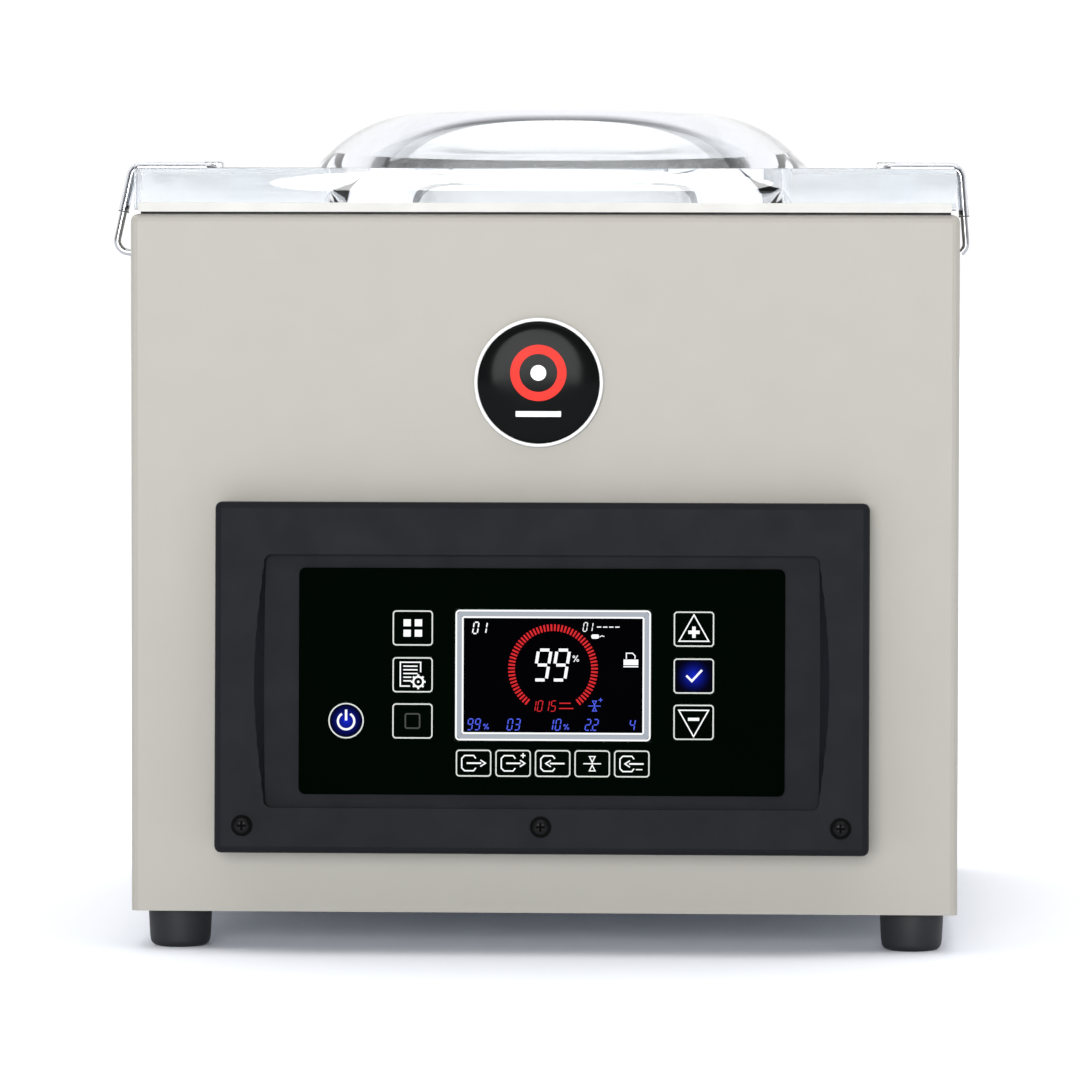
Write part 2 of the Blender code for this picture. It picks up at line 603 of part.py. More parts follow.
def make_pump(housing_finish, motor_finish, case_finish, rotor_finish):
    """Oil pump on the base: housing, oil case with its sight window, and a motor with a fan on its shaft."""
    y, z = 0.065, 0.090
    housing = box("pump_housing", (-0.085, y - 0.050, 0.0215), (-0.012, y + 0.050, 0.150),
                  housing_finish, radius=0.006, edges="x")
    join(housing, cylinder("pump_port", (-0.050, y, 0.145), (-0.050, y, 0.172), 0.011))
    cut(housing, cylinder("pump_shaft_bore", (-0.060, y, z), (0.01, y, z), 0.0063, sides=20))
    for i in range(3):
        low = 0.045 + i * 0.030
        cut(housing, box(f"pump_fin_{i}", (-0.10, y + 0.044, low), (0.0, y + 0.06, low + 0.015)))
    case = box("oil_case", (-0.150, y - 0.048, 0.0215), (-0.0853, y + 0.135, 0.135), case_finish,
               radius=0.006)
    join(case, cylinder("oil_sight", (-0.12, y + 0.13, 0.075), (-0.12, y + 0.1505, 0.075), 0.014))
    stator = cylinder("pump_motor", (-0.0117, y, z), (0.105, y, z), 0.048, motor_finish, sides=32)
    join(stator, box("motor_feet", (0.01, y - 0.040, 0.0215), (0.09, y + 0.040, 0.060)))
    cut(stator, cylinder("stator_bore", (0.002, y, z), (0.12, y, z), 0.0303),
        cylinder("motor_shaft_bore", (-0.03, y, z), (0.01, y, z), 0.0063, sides=20))
    rotor = cylinder("motor_rotor", (-0.055, y, z), (0.126, y, z), 0.006, rotor_finish, sides=20)
    join(rotor, cylinder("rotor_core", (0.006, y, z), (0.098, y, z), 0.029),
         cylinder("fan_hub", (0.108, y, z), (0.124, y, z), 0.012, sides=20))
    for i in range(6):
        blade = box(f"fan_blade_{i}", (0.109, -0.0012, 0.006), (0.123, 0.0012, 0.042))
        blade.location = (0.0, y, z)
        blade.rotation_euler.x = i * math.pi / 3
        join(rotor, blade)
    spin = pivot("motor_axis", (0.0, y, z))
    carry(spin, rotor)


def make_vacuum_line(block_finish, hose_finish):
    """Valve block under the tub's suction bore, and the hose from it to the pump."""
    top = TUB_FLOOR - TUB_WALL - GAP
    block = box("valve_block", (0.030, 0.100, 0.185), (0.100, 0.140, top), block_finish, radius=0.002)
    join(block, cylinder("valve_coil", (0.082, 0.12, 0.160), (0.082, 0.12, 0.190), 0.012, sides=20),
         cylinder("valve_barb", (0.012, 0.12, 0.205), (0.035, 0.12, 0.205), 0.007, sides=20))
    cut(block, cylinder("valve_bore", (0.06, 0.12, 0.20), (0.06, 0.12, 0.24), 0.006, sides=20),
        cylinder("valve_barb_bore", (0.0, 0.12, 0.205), (0.055, 0.12, 0.205), 0.004, sides=16))
    start, end = (0.0117, 0.12, 0.205), (-0.050, 0.065, 0.1723)
    across = bezier((start[0] - 0.008, start[1]), (-0.030, 0.120), (end[0], end[1]), (end[0], end[1]), 12)
    heights = bezier((0.0, start[2]), (0.4, start[2]), (1.0, 0.214), (1.0, end[2] + 0.008), 12)
    route = [(x, y, height[1]) for (x, y), height in zip(across, heights)]
    route = [start] + route + [end]
    tube("vacuum_hose", route, 0.008, hose_finish)


def make_transformer(finish):
    """Laminated core with its winding, for the seal bar's heating wire."""
    core = box("seal_transformer", (0.045, -0.120, 0.0215), (0.125, -0.060, 0.090), finish, radius=0.002)
    join(core, box("winding", (0.060, -0.136, 0.034), (0.110, -0.044, 0.078), radius=0.008, edges="yz"))


# ---------------------------------------------------------------- control panel


def pocket_cutter():
    """Recess of the panel: near-straight sides at the floor that bow out towards the face."""
    steps, corner = 12, 0.003
    height = POCKET_HIGH - POCKET_LOW
    shape = bmesh.new()
    rings = []
    for depth, bow in ((-0.003, 1.5), (POCKET_DEPTH, 0.12)):
        side = []
        for turn, z in ((math.radians(-90), POCKET_LOW + corner), (0.0, POCKET_HIGH - corner)):
            side += [(POCKET_HALF_WIDTH - corner + corner * math.cos(turn + a), z + corner * math.sin(turn + a))
                     for a in (math.radians(22.5 * i) for i in range(5))]
        bowed = [(POCKET_HALF_WIDTH, POCKET_LOW + height * i / steps) for i in range(1, steps)]
        side[5:5] = bowed
        side = [(x + POCKET_BOW * bow * math.sin(math.pi * (z - POCKET_LOW) / height), z) for x, z in side]
        outline = side + [(-x, z) for x, z in reversed(side)]
        rings.append([shape.verts.new((x, depth, z)) for x, z in outline])
    count = len(rings[0])
    for i in range(count):
        j = (i + 1) % count
        shape.faces.new((rings[0][i], rings[0][j], rings[1][j], rings[1][i]))
    shape.faces.new(rings[0])
    shape.faces.new(list(reversed(rings[1])))
    bmesh.ops.triangulate(shape, faces=shape.faces)
    bmesh.ops.recalc_face_normals(shape, faces=shape.faces)
    return place("panel_pocket", shape)


def make_bezel(panel, finish):
    """Moulded frame that stands off the cabinet front, deeper at its foot, hollow behind."""
    half = PANEL_WIDTH / 2
    deep = (PANEL_BACK - PANEL_FRONT) / math.cos(PANEL_LEAN)
    shallow = deep - PANEL_HEIGHT * math.tan(PANEL_LEAN)
    shape = bmesh.new()
    bmesh.ops.create_cube(shape, size=1.0)
    for vert in shape.verts:
        top = vert.co.z > 0
        back = (shallow if top else deep) if vert.co.y > 0 else 0.0
        vert.co = ((half if vert.co.x > 0 else -half), back, PANEL_HEIGHT if top else 0.0)
    rounded = [e for e in shape.edges if min(v.co.y for v in e.verts) < 0.001]
    bmesh.ops.bevel(shape, geom=rounded, offset=0.003, segments=3, profile=0.5, affect="EDGES")
    bezel = place("control_bezel", shape, finish)
    hollow = box("bezel_hollow", (-0.140, POCKET_DEPTH + 0.002, 0.026), (0.140, 0.05, 0.148))
    window = box("bezel_window", (-0.106, -0.01, 0.033), (0.106, 0.02, 0.126), radius=0.003, edges="y")
    pocket = pocket_cutter()
    cut(bezel, hollow, pocket, window)
    helpers = [hollow, pocket, window]
    for i, x in enumerate((-SCREW_SPACING, 0.0, SCREW_SPACING)):
        bore = cylinder(f"bezel_bore_{i}", (x, -0.01, SCREW_Z), (x, 0.05, SCREW_Z), 0.0024, sides=16)
        cut(bezel, bore)
        helpers.append(bore)
    set_in(panel, bezel, *helpers)


def key_places():
    """(name, x, z, size) of every key, seen from the front, in the panel's frame."""
    rows = (0.1041, 0.0825, 0.0612)
    left = ("program", "settings", "stop")
    right = ("plus", "confirm", "minus")
    keys = []
    for names, x in ((left, -0.0595), (right, 0.0702)):
        for name, z in zip(names, rows):
            keys.append((name, x, z, SIDE_KEY_SIZE))
    for i, name in enumerate(("vacuum", "extra_vacuum", "gas", "seal", "air")):
        keys.append((name, DISPLAY_X + (i - 2) * 0.01825, 0.0419, LOW_KEY_SIZE))
    return keys


def make_panel(finishes):
    """Everything on the leaning panel: bezel, overlay, keys, display, board and screws."""
    panel = pivot("panel_frame", (0.0, PANEL_FRONT, PANEL_BOTTOM), -PANEL_LEAN)
    make_bezel(panel, finishes["panel"])
    face = POCKET_DEPTH - GAP
    overlay = box("control_overlay", (-OVERLAY_HALF_WIDTH, face - 0.0011, OVERLAY_LOW),
                  (OVERLAY_HALF_WIDTH, face, OVERLAY_HIGH), finishes["overlay"], radius=0.003, edges="y",
                  segments=5)
    width, height = DISPLAY_SIZE
    left, low = DISPLAY_X - width / 2, DISPLAY_LOW
    window = box("display_opening", (left - GAP, 0.0, low - GAP),
                 (left + width + GAP, 0.02, low + height + GAP))
    display = box("lcd_module", (left, face - 0.0013, low), (left + width, 0.0095, low + height),
                  finishes["display"])
    cut(overlay, window)
    set_in(panel, overlay, window, display)
    for name, x, z, (key_width, key_height) in key_places():
        key = box(f"key_{name}", (-key_width / 2, 0.0, -key_height / 2),
                  (key_width / 2, 0.0045, key_height / 2),
                  finishes["key"], radius=0.0015, edges="y")
        key.location = (x, KEY_FACE, z)
        hole = box(f"key_opening_{name}", (x - key_width / 2 - GAP, 0.0, z - key_height / 2 - GAP),
                   (x + key_width / 2 + GAP, 0.02, z + key_height / 2 + GAP), radius=0.0012, edges="y",
                   segments=1)
        cut(overlay, hole)
        set_in(panel, key, hole)
    power_x, power_z = -0.0902, 0.0612
    power = cylinder("key_power", (0, 0, 0), (0, 0.0045, 0), POWER_KEY_RADIUS, finishes["key"])
    power.location = (power_x, KEY_FACE, power_z)
    hole = cylinder("key_opening_power", (power_x, -0.01, power_z), (power_x, 0.02, power_z),
                    POWER_KEY_RADIUS + GAP)
    cut(overlay, hole)
    set_in(panel, power, hole)
    board = box("control_board", (-0.104, 0.0100, 0.035), (0.104, 0.0116, 0.124), finishes["board"])
    relay = box("board_relay", (-0.09, 0.0110, 0.045), (-0.055, 0.0160, 0.075))
    chip = box("board_chip", (0.02, 0.0110, 0.06), (0.05, 0.0140, 0.09))
    join(board, relay, chip)
    set_in(panel, board, relay, chip)
    for side, x in (("left", -SCREW_SPACING), ("middle", 0.0), ("right", SCREW_SPACING)):
        make_screw(f"bezel_screw_{side}", panel, x, finishes["screw"])


def make_screw(name, panel, x, finish):
    """Pan-head cross-recess screw that holds the bezel to the cabinet front."""
    profile = [(0.0, 0.0022), (0.0022, 0.0021), (0.0038, 0.0013), (0.0044, 0.0), (0.0019, 0.0),
               (0.0019, -0.0235), (0.0, -0.0235)]
    screw = turned(name, profile, finish, steps=16)
    screw.location = (x, -GAP, SCREW_Z)
    screw.rotation_euler.x = math.radians(90)
    slots = []
    for i, (width, height) in enumerate(((0.0044, 0.0011), (0.0011, 0.0044))):
        slot = box(f"{name}_slot_{i}", (x - width / 2, -0.006, SCREW_Z - height / 2),
                   (x + width / 2, -0.0012, SCREW_Z + height / 2))
        slots.append(slot)
    cut(screw, *slots)
    set_in(panel, screw, *slots)


def main():
    clear_scene()
    coat = paint("powder_coat", (0.62, 0.60, 0.55), 0.45)
    steel = paint("stainless_steel", (0.62, 0.62, 0.62), 0.3, 1.0)
    zinc = paint("zinc_plated_steel", (0.66, 0.67, 0.68), 0.35, 1.0)
    clear = paint("clear_acrylic", (0.88, 0.90, 0.92), 0.05)
    rubber = paint("black_rubber", (0.03, 0.03, 0.03), 0.7)
    silicone = paint("silicone", (0.75, 0.35, 0.25), 0.6)
    charcoal = paint("charcoal_plastic", (0.028, 0.032, 0.036), 0.5)
    glass = paint("black_glass", (0.004, 0.005, 0.005), 0.1)
    white_plastic = paint("white_plastic", (0.8, 0.8, 0.78), 0.5)
    cast = paint("cast_aluminium", (0.5, 0.51, 0.52), 0.5, 1.0)
    dark_enamel = paint("dark_enamel", (0.06, 0.07, 0.08), 0.4)
    board_green = paint("board_green", (0.03, 0.16, 0.07), 0.5)
    sleeve = paint("clear_sleeve", (0.8, 0.82, 0.84), 0.2)

    make_cabinet(coat)
    make_base(zinc)
    make_feet(rubber)
    make_rear_panel(coat)
    make_inlet(charcoal)
    make_badge(glass)
    make_chamber(steel)
    make_gasket(rubber)
    make_filler_plate(white_plastic)
    make_seal(cast, zinc, steel, cast)
    make_pump(cast, dark_enamel, cast, zinc)
    make_vacuum_line(cast, rubber)
    make_transformer(dark_enamel)
    make_panel({"panel": charcoal, "overlay": glass, "display": glass, "key": charcoal,
                "board": board_green, "screw": charcoal})
    make_gas_springs(dark_enamel, zinc)

    lid_axis = pivot("lid_axis", (0.0, HINGE_Y, HINGE_Z))
    carry(lid_axis, make_lid(clear), *make_counter_bar(cast, silicone), *make_hinge(steel, cast, steel))
    for across, wire, tubing in make_hooks(zinc, sleeve):
        hook_axis = pivot(f"hook_axis_{across}", (across * HOOK_PIVOT_X, HOOK_Y, HOOK_PIVOT_Z),
                          parent=lid_axis)
        carry(hook_axis, wire, tubing)


main()
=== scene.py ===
"""Looks of the table-top vacuum chamber sealer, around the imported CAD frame. Metres, +Z up."""
import math

import bmesh
import bpy
from mathutils import Matrix, Vector


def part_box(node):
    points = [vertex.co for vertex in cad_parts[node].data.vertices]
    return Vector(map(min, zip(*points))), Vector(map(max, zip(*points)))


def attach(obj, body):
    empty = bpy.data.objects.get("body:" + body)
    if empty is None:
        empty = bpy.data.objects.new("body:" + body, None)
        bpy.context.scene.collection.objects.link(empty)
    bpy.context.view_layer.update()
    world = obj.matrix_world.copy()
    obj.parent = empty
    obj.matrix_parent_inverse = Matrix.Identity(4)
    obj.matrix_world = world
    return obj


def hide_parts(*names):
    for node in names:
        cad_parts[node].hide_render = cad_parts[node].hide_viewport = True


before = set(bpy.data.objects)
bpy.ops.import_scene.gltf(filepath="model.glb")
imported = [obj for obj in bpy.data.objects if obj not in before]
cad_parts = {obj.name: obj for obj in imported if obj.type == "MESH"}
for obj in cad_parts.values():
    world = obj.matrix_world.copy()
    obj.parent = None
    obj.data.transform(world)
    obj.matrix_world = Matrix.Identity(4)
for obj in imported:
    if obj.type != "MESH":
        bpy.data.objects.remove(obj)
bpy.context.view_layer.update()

# Places that the CAD also names
CABINET_LOW, CABINET_HIGH = (Vector(corner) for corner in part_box("cabinet"))
LID_LOW, LID_HIGH = (Vector(corner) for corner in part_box("lid"))
FRONT = CABINET_LOW.y
LID_THICKNESS = 0.0195
LID_TOP = LID_LOW.z + LID_THICKNESS
DOME_HALF_WIDTH = 0.121
DOME_HALF_DEPTH = 0.145
DOME_CENTRE_Y = -0.006
HOOK_Y = -0.1595
HOOK_PIVOT_X = 0.158
HOOK_PIVOT_Z = 0.3638
WIRE_RADIUS = 0.0016
SLEEVE_RADIUS = 0.0024
PANEL_FRONT = -0.227
PANEL_BOTTOM = 0.0476
PANEL_LEAN = math.radians(2.83)
KEY_FACE = 0.0033
DISPLAY_FACE = 0.0034
DISPLAY_X = 0.0053
DISPLAY_Z = 0.0825
SCREW_Z = 0.0127
SCREW_SPACING = 0.138
MARK_THICKNESS = 0.00006

PANEL = Matrix.Translation((0.0, PANEL_FRONT, PANEL_BOTTOM)) @ Matrix.Rotation(-PANEL_LEAN, 4, "X")


# ---------------------------------------------------------------- materials


def new_material(name, colour, roughness, metallic=0.0, specular=0.5):
    made = bpy.data.materials.new(name)
    made.use_nodes = True
    shader = made.node_tree.nodes["Principled BSDF"]
    shader.inputs["Base Color"].default_value = (*colour, 1.0)
    shader.inputs["Roughness"].default_value = roughness
    shader.inputs["Metallic"].default_value = metallic
    shader.inputs["Specular IOR Level"].default_value = specular
    return made, shader


def noise(tree, scale, detail=2.0, stretch=(1.0, 1.0, 1.0)):
    """Noise in the object's own coordinates, in metres."""
    where = tree.nodes.new("ShaderNodeTexCoord")
    mapping = tree.nodes.new("ShaderNodeMapping")
    mapping.inputs["Scale"].default_value = stretch
    made = tree.nodes.new("ShaderNodeTexNoise")
    made.inputs["Scale"].default_value = scale
    made.inputs["Detail"].default_value = detail
    tree.links.new(where.outputs["Object"], mapping.inputs["Vector"])
    tree.links.new(mapping.outputs["Vector"], made.inputs["Vector"])
    return made.outputs["Fac"]


def vary_colour(tree, shader, fac, dark, light):
    """Colour that drifts between two close tones."""
    ramp = tree.nodes.new("ShaderNodeMix")
    ramp.data_type = "RGBA"
    ramp.inputs[6].default_value = (*dark, 1.0)
    ramp.inputs[7].default_value = (*light, 1.0)
    tree.links.new(fac, ramp.inputs[0])
    tree.links.new(ramp.outputs[2], shader.inputs["Base Color"])


def vary_roughness(tree, shader, fac, low, high):
    spread = tree.nodes.new("ShaderNodeMapRange")
    spread.inputs["From Min"].default_value = 0.3
    spread.inputs["From Max"].default_value = 0.7
    spread.inputs["To Min"].default_value = low
    spread.inputs["To Max"].default_value = high
    tree.links.new(fac, spread.inputs["Value"])
    tree.links.new(spread.outputs["Result"], shader.inputs["Roughness"])


def add_bump(tree, shader, fac, strength, distance):
    bump = tree.nodes.new("ShaderNodeBump")
    bump.inputs["Strength"].default_value = strength
    bump.inputs["Distance"].default_value = distance
    tree.links.new(fac, bump.inputs["Height"])
    tree.links.new(bump.outputs["Normal"], shader.inputs["Normal"])


def textured(name, dark, light, rough, bump, metallic=0.0, specular=0.5, stretch=(1.0, 1.0, 1.0)):
    """A surface with slow colour drift, uneven gloss and a grain; bump is (scale, strength, distance)."""
    made, shader = new_material(name, light, rough[1], metallic, specular)
    tree = made.node_tree
    vary_colour(tree, shader, noise(tree, 14.0, 3.0), dark, light)
    vary_roughness(tree, shader, noise(tree, 60.0, 3.0, stretch), *rough)
    scale, strength, distance = bump
    add_bump(tree, shader, noise(tree, scale, 2.0, stretch), strength, distance)
    return made


def clear(name, colour, roughness, ior):
    """Clear plastic, with a very slight unevenness in its surface."""
    made, shader = new_material(name, colour, roughness)
    shader.inputs["Transmission Weight"].default_value = 1.0
    shader.inputs["IOR"].default_value = ior
    add_bump(made.node_tree, shader, noise(made.node_tree, 40.0), 0.05, 0.0002)
    return made


def sawn_edge_painted_glow(name):
    """The unpolished edge of clear plastic: matt and whitish, with a painted glow, an even emission that
    stands in for light carried through the plate.
    """
    made = textured(name, (0.88, 0.89, 0.90), (0.93, 0.94, 0.95), (0.8, 0.95), (1500.0, 0.3, 0.0002))
    shader = made.node_tree.nodes["Principled BSDF"]
    shader.inputs["Transmission Weight"].default_value = 0.3
    # painted glow: emission that brightens the edge in place of light gathered through the acrylic
    shader.inputs["Emission Color"].default_value = (0.90, 0.95, 1.0, 1.0)
    shader.inputs["Emission Strength"].default_value = 0.46
    return made


def lit(name, colour, strength, base=0.1):
    """Printed or lit mark: its own colour with an even light behind it."""
    made, shader = new_material(name, tuple(base * c for c in colour), 0.4, specular=0.0)
    tree = made.node_tree
    vary_colour(tree, shader, noise(tree, 300.0), tuple(0.92 * base * c for c in colour),
                tuple(base * c for c in colour))
    shader.inputs["Emission Color"].default_value = (*colour, 1.0)
    shader.inputs["Emission Strength"].default_value = strength
    return made


def make_materials():
    """One material for each look."""
    made = {
        "coat": textured("powder_coat", (0.335, 0.319, 0.285), (0.341, 0.325, 0.290), (0.43, 0.47),
                         (1400.0, 0.12, 0.00012), specular=0.35),
        "zinc": textured("zinc_sheet", (0.50, 0.51, 0.52), (0.62, 0.63, 0.64), (0.32, 0.45),
                         (300.0, 0.1, 0.0002), 1.0),
        "steel": textured("brushed_steel", (0.56, 0.56, 0.56), (0.66, 0.66, 0.66), (0.22, 0.36),
                          (900.0, 0.15, 0.0001), 1.0, stretch=(1.0, 40.0, 40.0)),
        "wire": textured("plated_wire", (0.40, 0.405, 0.415), (0.46, 0.465, 0.475), (0.16, 0.26),
                         (500.0, 0.05, 0.0001), 1.0),
        "aluminium": textured("aluminium", (0.52, 0.53, 0.54), (0.62, 0.63, 0.64), (0.35, 0.5),
                              (700.0, 0.25, 0.0003), 1.0),
        "rubber": textured("rubber", (0.011, 0.012, 0.014), (0.016, 0.017, 0.020), (0.5, 0.65),
                           (2200.0, 0.3, 0.0002), specular=0.3),
        "hinge": textured("blasted_aluminium", (0.80, 0.81, 0.82), (0.86, 0.87, 0.88), (0.5, 0.6),
                          (900.0, 0.2, 0.0002), 0.6),
        "gasket": textured("gasket_rubber", (0.008, 0.008, 0.009), (0.014, 0.014, 0.016), (0.6, 0.75),
                           (2200.0, 0.2, 0.0001)),
        "silicone": textured("silicone", (0.50, 0.14, 0.07), (0.56, 0.18, 0.10), (0.45, 0.6),
                             (900.0, 0.15, 0.0002)),
        "band": textured("heating_band", (0.36, 0.33, 0.30), (0.48, 0.45, 0.42), (0.3, 0.45),
                         (1200.0, 0.1, 0.0001), 1.0),
        "filler": textured("filler_plastic", (0.74, 0.74, 0.72), (0.80, 0.80, 0.78), (0.4, 0.55),
                           (500.0, 0.2, 0.0003)),
        "enamel": textured("dark_enamel", (0.03, 0.034, 0.038), (0.045, 0.05, 0.056), (0.3, 0.45),
                           (400.0, 0.15, 0.0002)),
        "board": textured("circuit_board", (0.012, 0.10, 0.035), (0.018, 0.14, 0.05), (0.3, 0.5),
                          (800.0, 0.3, 0.0002)),
        "bezel": textured("panel_plastic", (0.0092, 0.0097, 0.0121), (0.0112, 0.0117, 0.0144), (0.40, 0.50),
                          (2600.0, 0.25, 0.00015), specular=0.04),
        "inlet": textured("inlet_plastic", (0.012, 0.012, 0.013), (0.018, 0.018, 0.02), (0.4, 0.55),
                          (2400.0, 0.2, 0.0001)),
        "overlay": textured("panel_gloss", (0.0003, 0.0012, 0.0006), (0.0005, 0.0019, 0.0010), (0.10, 0.16),
                            (60.0, 0.02, 0.0001), specular=0.0),
        "screen": textured("screen_gloss", (0.0004, 0.0004, 0.0008), (0.0008, 0.0008, 0.0014), (0.30, 0.36),
                           (60.0, 0.02, 0.0001), specular=0.0),
        "screw": textured("black_screw", (0.003, 0.003, 0.0035), (0.0045, 0.0045, 0.005), (0.3, 0.4),
                          (1800.0, 0.15, 0.0001), specular=0.12),
        # painted shade: near-black matt colour for the shadow in the screw recesses
        "painted_recess_shade": textured("screw_painted_shade", (0.0012, 0.0012, 0.0013), (0.002, 0.002, 0.0021), (0.7, 0.8),
                         (1800.0, 0.1, 0.0001), specular=0.05),
        "badge": textured("badge_resin", (0.003, 0.0035, 0.0035), (0.005, 0.0055, 0.0055), (0.10, 0.16),
                          (300.0, 0.03, 0.0001), specular=0.05),
        "badge_rim": textured("badge_rim", (0.62, 0.62, 0.61), (0.72, 0.72, 0.71), (0.2, 0.3),
                              (500.0, 0.05, 0.0001)),
        "badge_red": textured("badge_red", (0.72, 0.030, 0.020), (0.78, 0.036, 0.026), (0.3, 0.4),
                              (300.0, 0.03, 0.0001), specular=0.05),
        "badge_white": textured("badge_white", (0.80, 0.80, 0.80), (0.86, 0.86, 0.86), (0.12, 0.2),
                                (300.0, 0.03, 0.0001)),
        "lid": clear("clear_acrylic", (0.93, 0.95, 0.97), 0.02, 1.49),
        # sawn rear edge of the lid, with its painted glow
        "sawn": sawn_edge_painted_glow("sawn_acrylic_painted_glow"),
        # painted refraction: colour of the deck band seen through the lid's lower front edge
        "refraction_band": textured("painted_refraction_band", (0.46, 0.45, 0.425), (0.52, 0.51, 0.48), (0.35, 0.5),
                        (900.0, 0.1, 0.0001)),
        "sleeve": clear("clear_tube", (0.86, 0.87, 0.90), 0.06, 1.42),
        # painted shade: dark colour for the ring at each clear sleeve's end
        "sleeve_rim": textured("sleeve_end_painted_shade", (0.05, 0.05, 0.055), (0.08, 0.08, 0.09), (0.4, 0.6),
                               (2000.0, 0.2, 0.0001)),
        "white_mark": lit("white_mark", (0.96, 0.97, 0.98), 0.95),
        "outline_mark": lit("outline_mark", (0.62, 0.64, 0.60), 0.55, 0.5),
        "grey_mark": lit("grey_mark", (0.40, 0.43, 0.48), 0.9),
        "dim_mark": lit("dim_mark", (0.11, 0.12, 0.11), 0.5),
        "red_mark": lit("red_mark", (0.72, 0.026, 0.032), 0.85),
        "blue_mark": lit("blue_mark", (0.085, 0.125, 0.86), 0.95),
    }
    return made


def glow(name, centre, reach):
    """Blue light behind a key that fades from its middle."""
    made, shader = new_material(name, (0.001, 0.001, 0.004), 0.2, specular=0.0)
    tree = made.node_tree
    where = tree.nodes.new("ShaderNodeTexCoord")
    mapping = tree.nodes.new("ShaderNodeMapping")
    mapping.inputs["Location"].default_value = tuple(-c / reach for c in centre)
    mapping.inputs["Scale"].default_value = (1 / reach, 1 / reach, 1 / reach)
    fade = tree.nodes.new("ShaderNodeTexGradient")
    fade.gradient_type = "QUADRATIC_SPHERE"
    tree.links.new(where.outputs["Object"], mapping.inputs["Vector"])
    tree.links.new(mapping.outputs["Vector"], fade.inputs["Vector"])
    tree.links.new(fade.outputs["Fac"], shader.inputs["Emission Strength"])
    shader.inputs["Emission Color"].default_value = (0.008, 0.022, 0.62, 1.0)
    return made


# ---------------------------------------------------------------- shapes


def finish_piece(name, shape, material, body, replaced=(), smooth=40.0, world=None):
    """Turns a bmesh into a piece that rides on a body."""
    bmesh.ops.recalc_face_normals(shape, faces=shape.faces)
    mesh = bpy.data.meshes.new(name)
    shape.to_mesh(mesh)
    shape.free()
    if world is not None:
        mesh.transform(world)
    mesh.materials.append(material)
    mesh.shade_smooth()
    mesh.set_sharp_from_angle(angle=math.radians(smooth))
    piece = bpy.data.objects.new(name, mesh)
    bpy.context.scene.collection.objects.link(piece)
    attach(piece, body)
    if replaced:
        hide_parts(*replaced)
    return piece


def bezier(start, first, second, end, count):
    points = []
    for i in range(count + 1):
        t = i / count
        weights = ((1 - t) ** 3, 3 * t * (1 - t) ** 2, 3 * t ** 2 * (1 - t), t ** 3)
        corners = (start, first, second, end)
        points.append(tuple(sum(w * c[axis] for w, c in zip(weights, corners)) for axis in (0, 1)))
    return points


def lathe(profile, steps=64):
    """A closed turned shape about Z from (radius, height) points that start and end on the axis."""
    shape = bmesh.new()
    rings = []
    for radius, height in profile:
        if radius < 1e-6:
            rings.append([shape.verts.new((0.0, 0.0, height))])
            continue
        rings.append([shape.verts.new((radius * math.cos(2 * math.pi * i / steps),
                                       radius * math.sin(2 * math.pi * i / steps), height))
                      for i in range(steps)])
    for upper, lower in zip(rings, rings[1:]):
        for i in range(steps):
            j = (i + 1) % steps
            if len(upper) == 1:
                shape.faces.new((upper[0], lower[i], lower[j]))
            elif len(lower) == 1:
                shape.faces.new((upper[i], upper[j], lower[0]))
            else:
                shape.faces.new((upper[i], upper[j], lower[j], lower[i]))
    return shape


def sweep(shape, points, radius, sides=20, inner=0.0):
    """A round bar along points, or a tube with a wall where inner is given."""
    tangents = []
    for i in range(len(points)):
        before = points[max(i - 1, 0)]
        after = points[min(i + 1, len(points) - 1)]
        tangents.append((after - before).normalized())
    normal = tangents[0].orthogonal().normalized()
    rings = []
    for point, tangent in zip(points, tangents):
        normal = (normal - tangent * normal.dot(tangent)).normalized()
        side = tangent.cross(normal)
        ring = []
        for ring_radius in ((radius, inner) if inner else (radius,)):
            ring.append([shape.verts.new(point + ring_radius * (math.cos(a) * normal + math.sin(a) * side))
                         for a in (2 * math.pi * i / sides for i in range(sides))])
        rings.append(ring)
    for first, second in zip(rings, rings[1:]):
        for wall in range(len(first)):
            for i in range(sides):
                j = (i + 1) % sides
                shape.faces.new((first[wall][i], first[wall][j], second[wall][j], second[wall][i]))
    for ring in (rings[0], rings[-1]):
        if inner:
            for i in range(sides):
                j = (i + 1) % sides
                shape.faces.new((ring[0][i], ring[0][j], ring[1][j], ring[1][i]))
        else:
            shape.faces.new(ring[0])
    return shape


def arc(centre, radius, start, end, count, plane):
    first, second = plane
    points = []
    for i in range(count + 1):
        angle = start + (end - start) * i / count
        point = list(centre)
        point[first] += radius * math.cos(angle)
        point[second] += radius * math.sin(angle)
        points.append(tuple(point))
    return points


# ---------------------------------------------------------------- flat marks on the panel


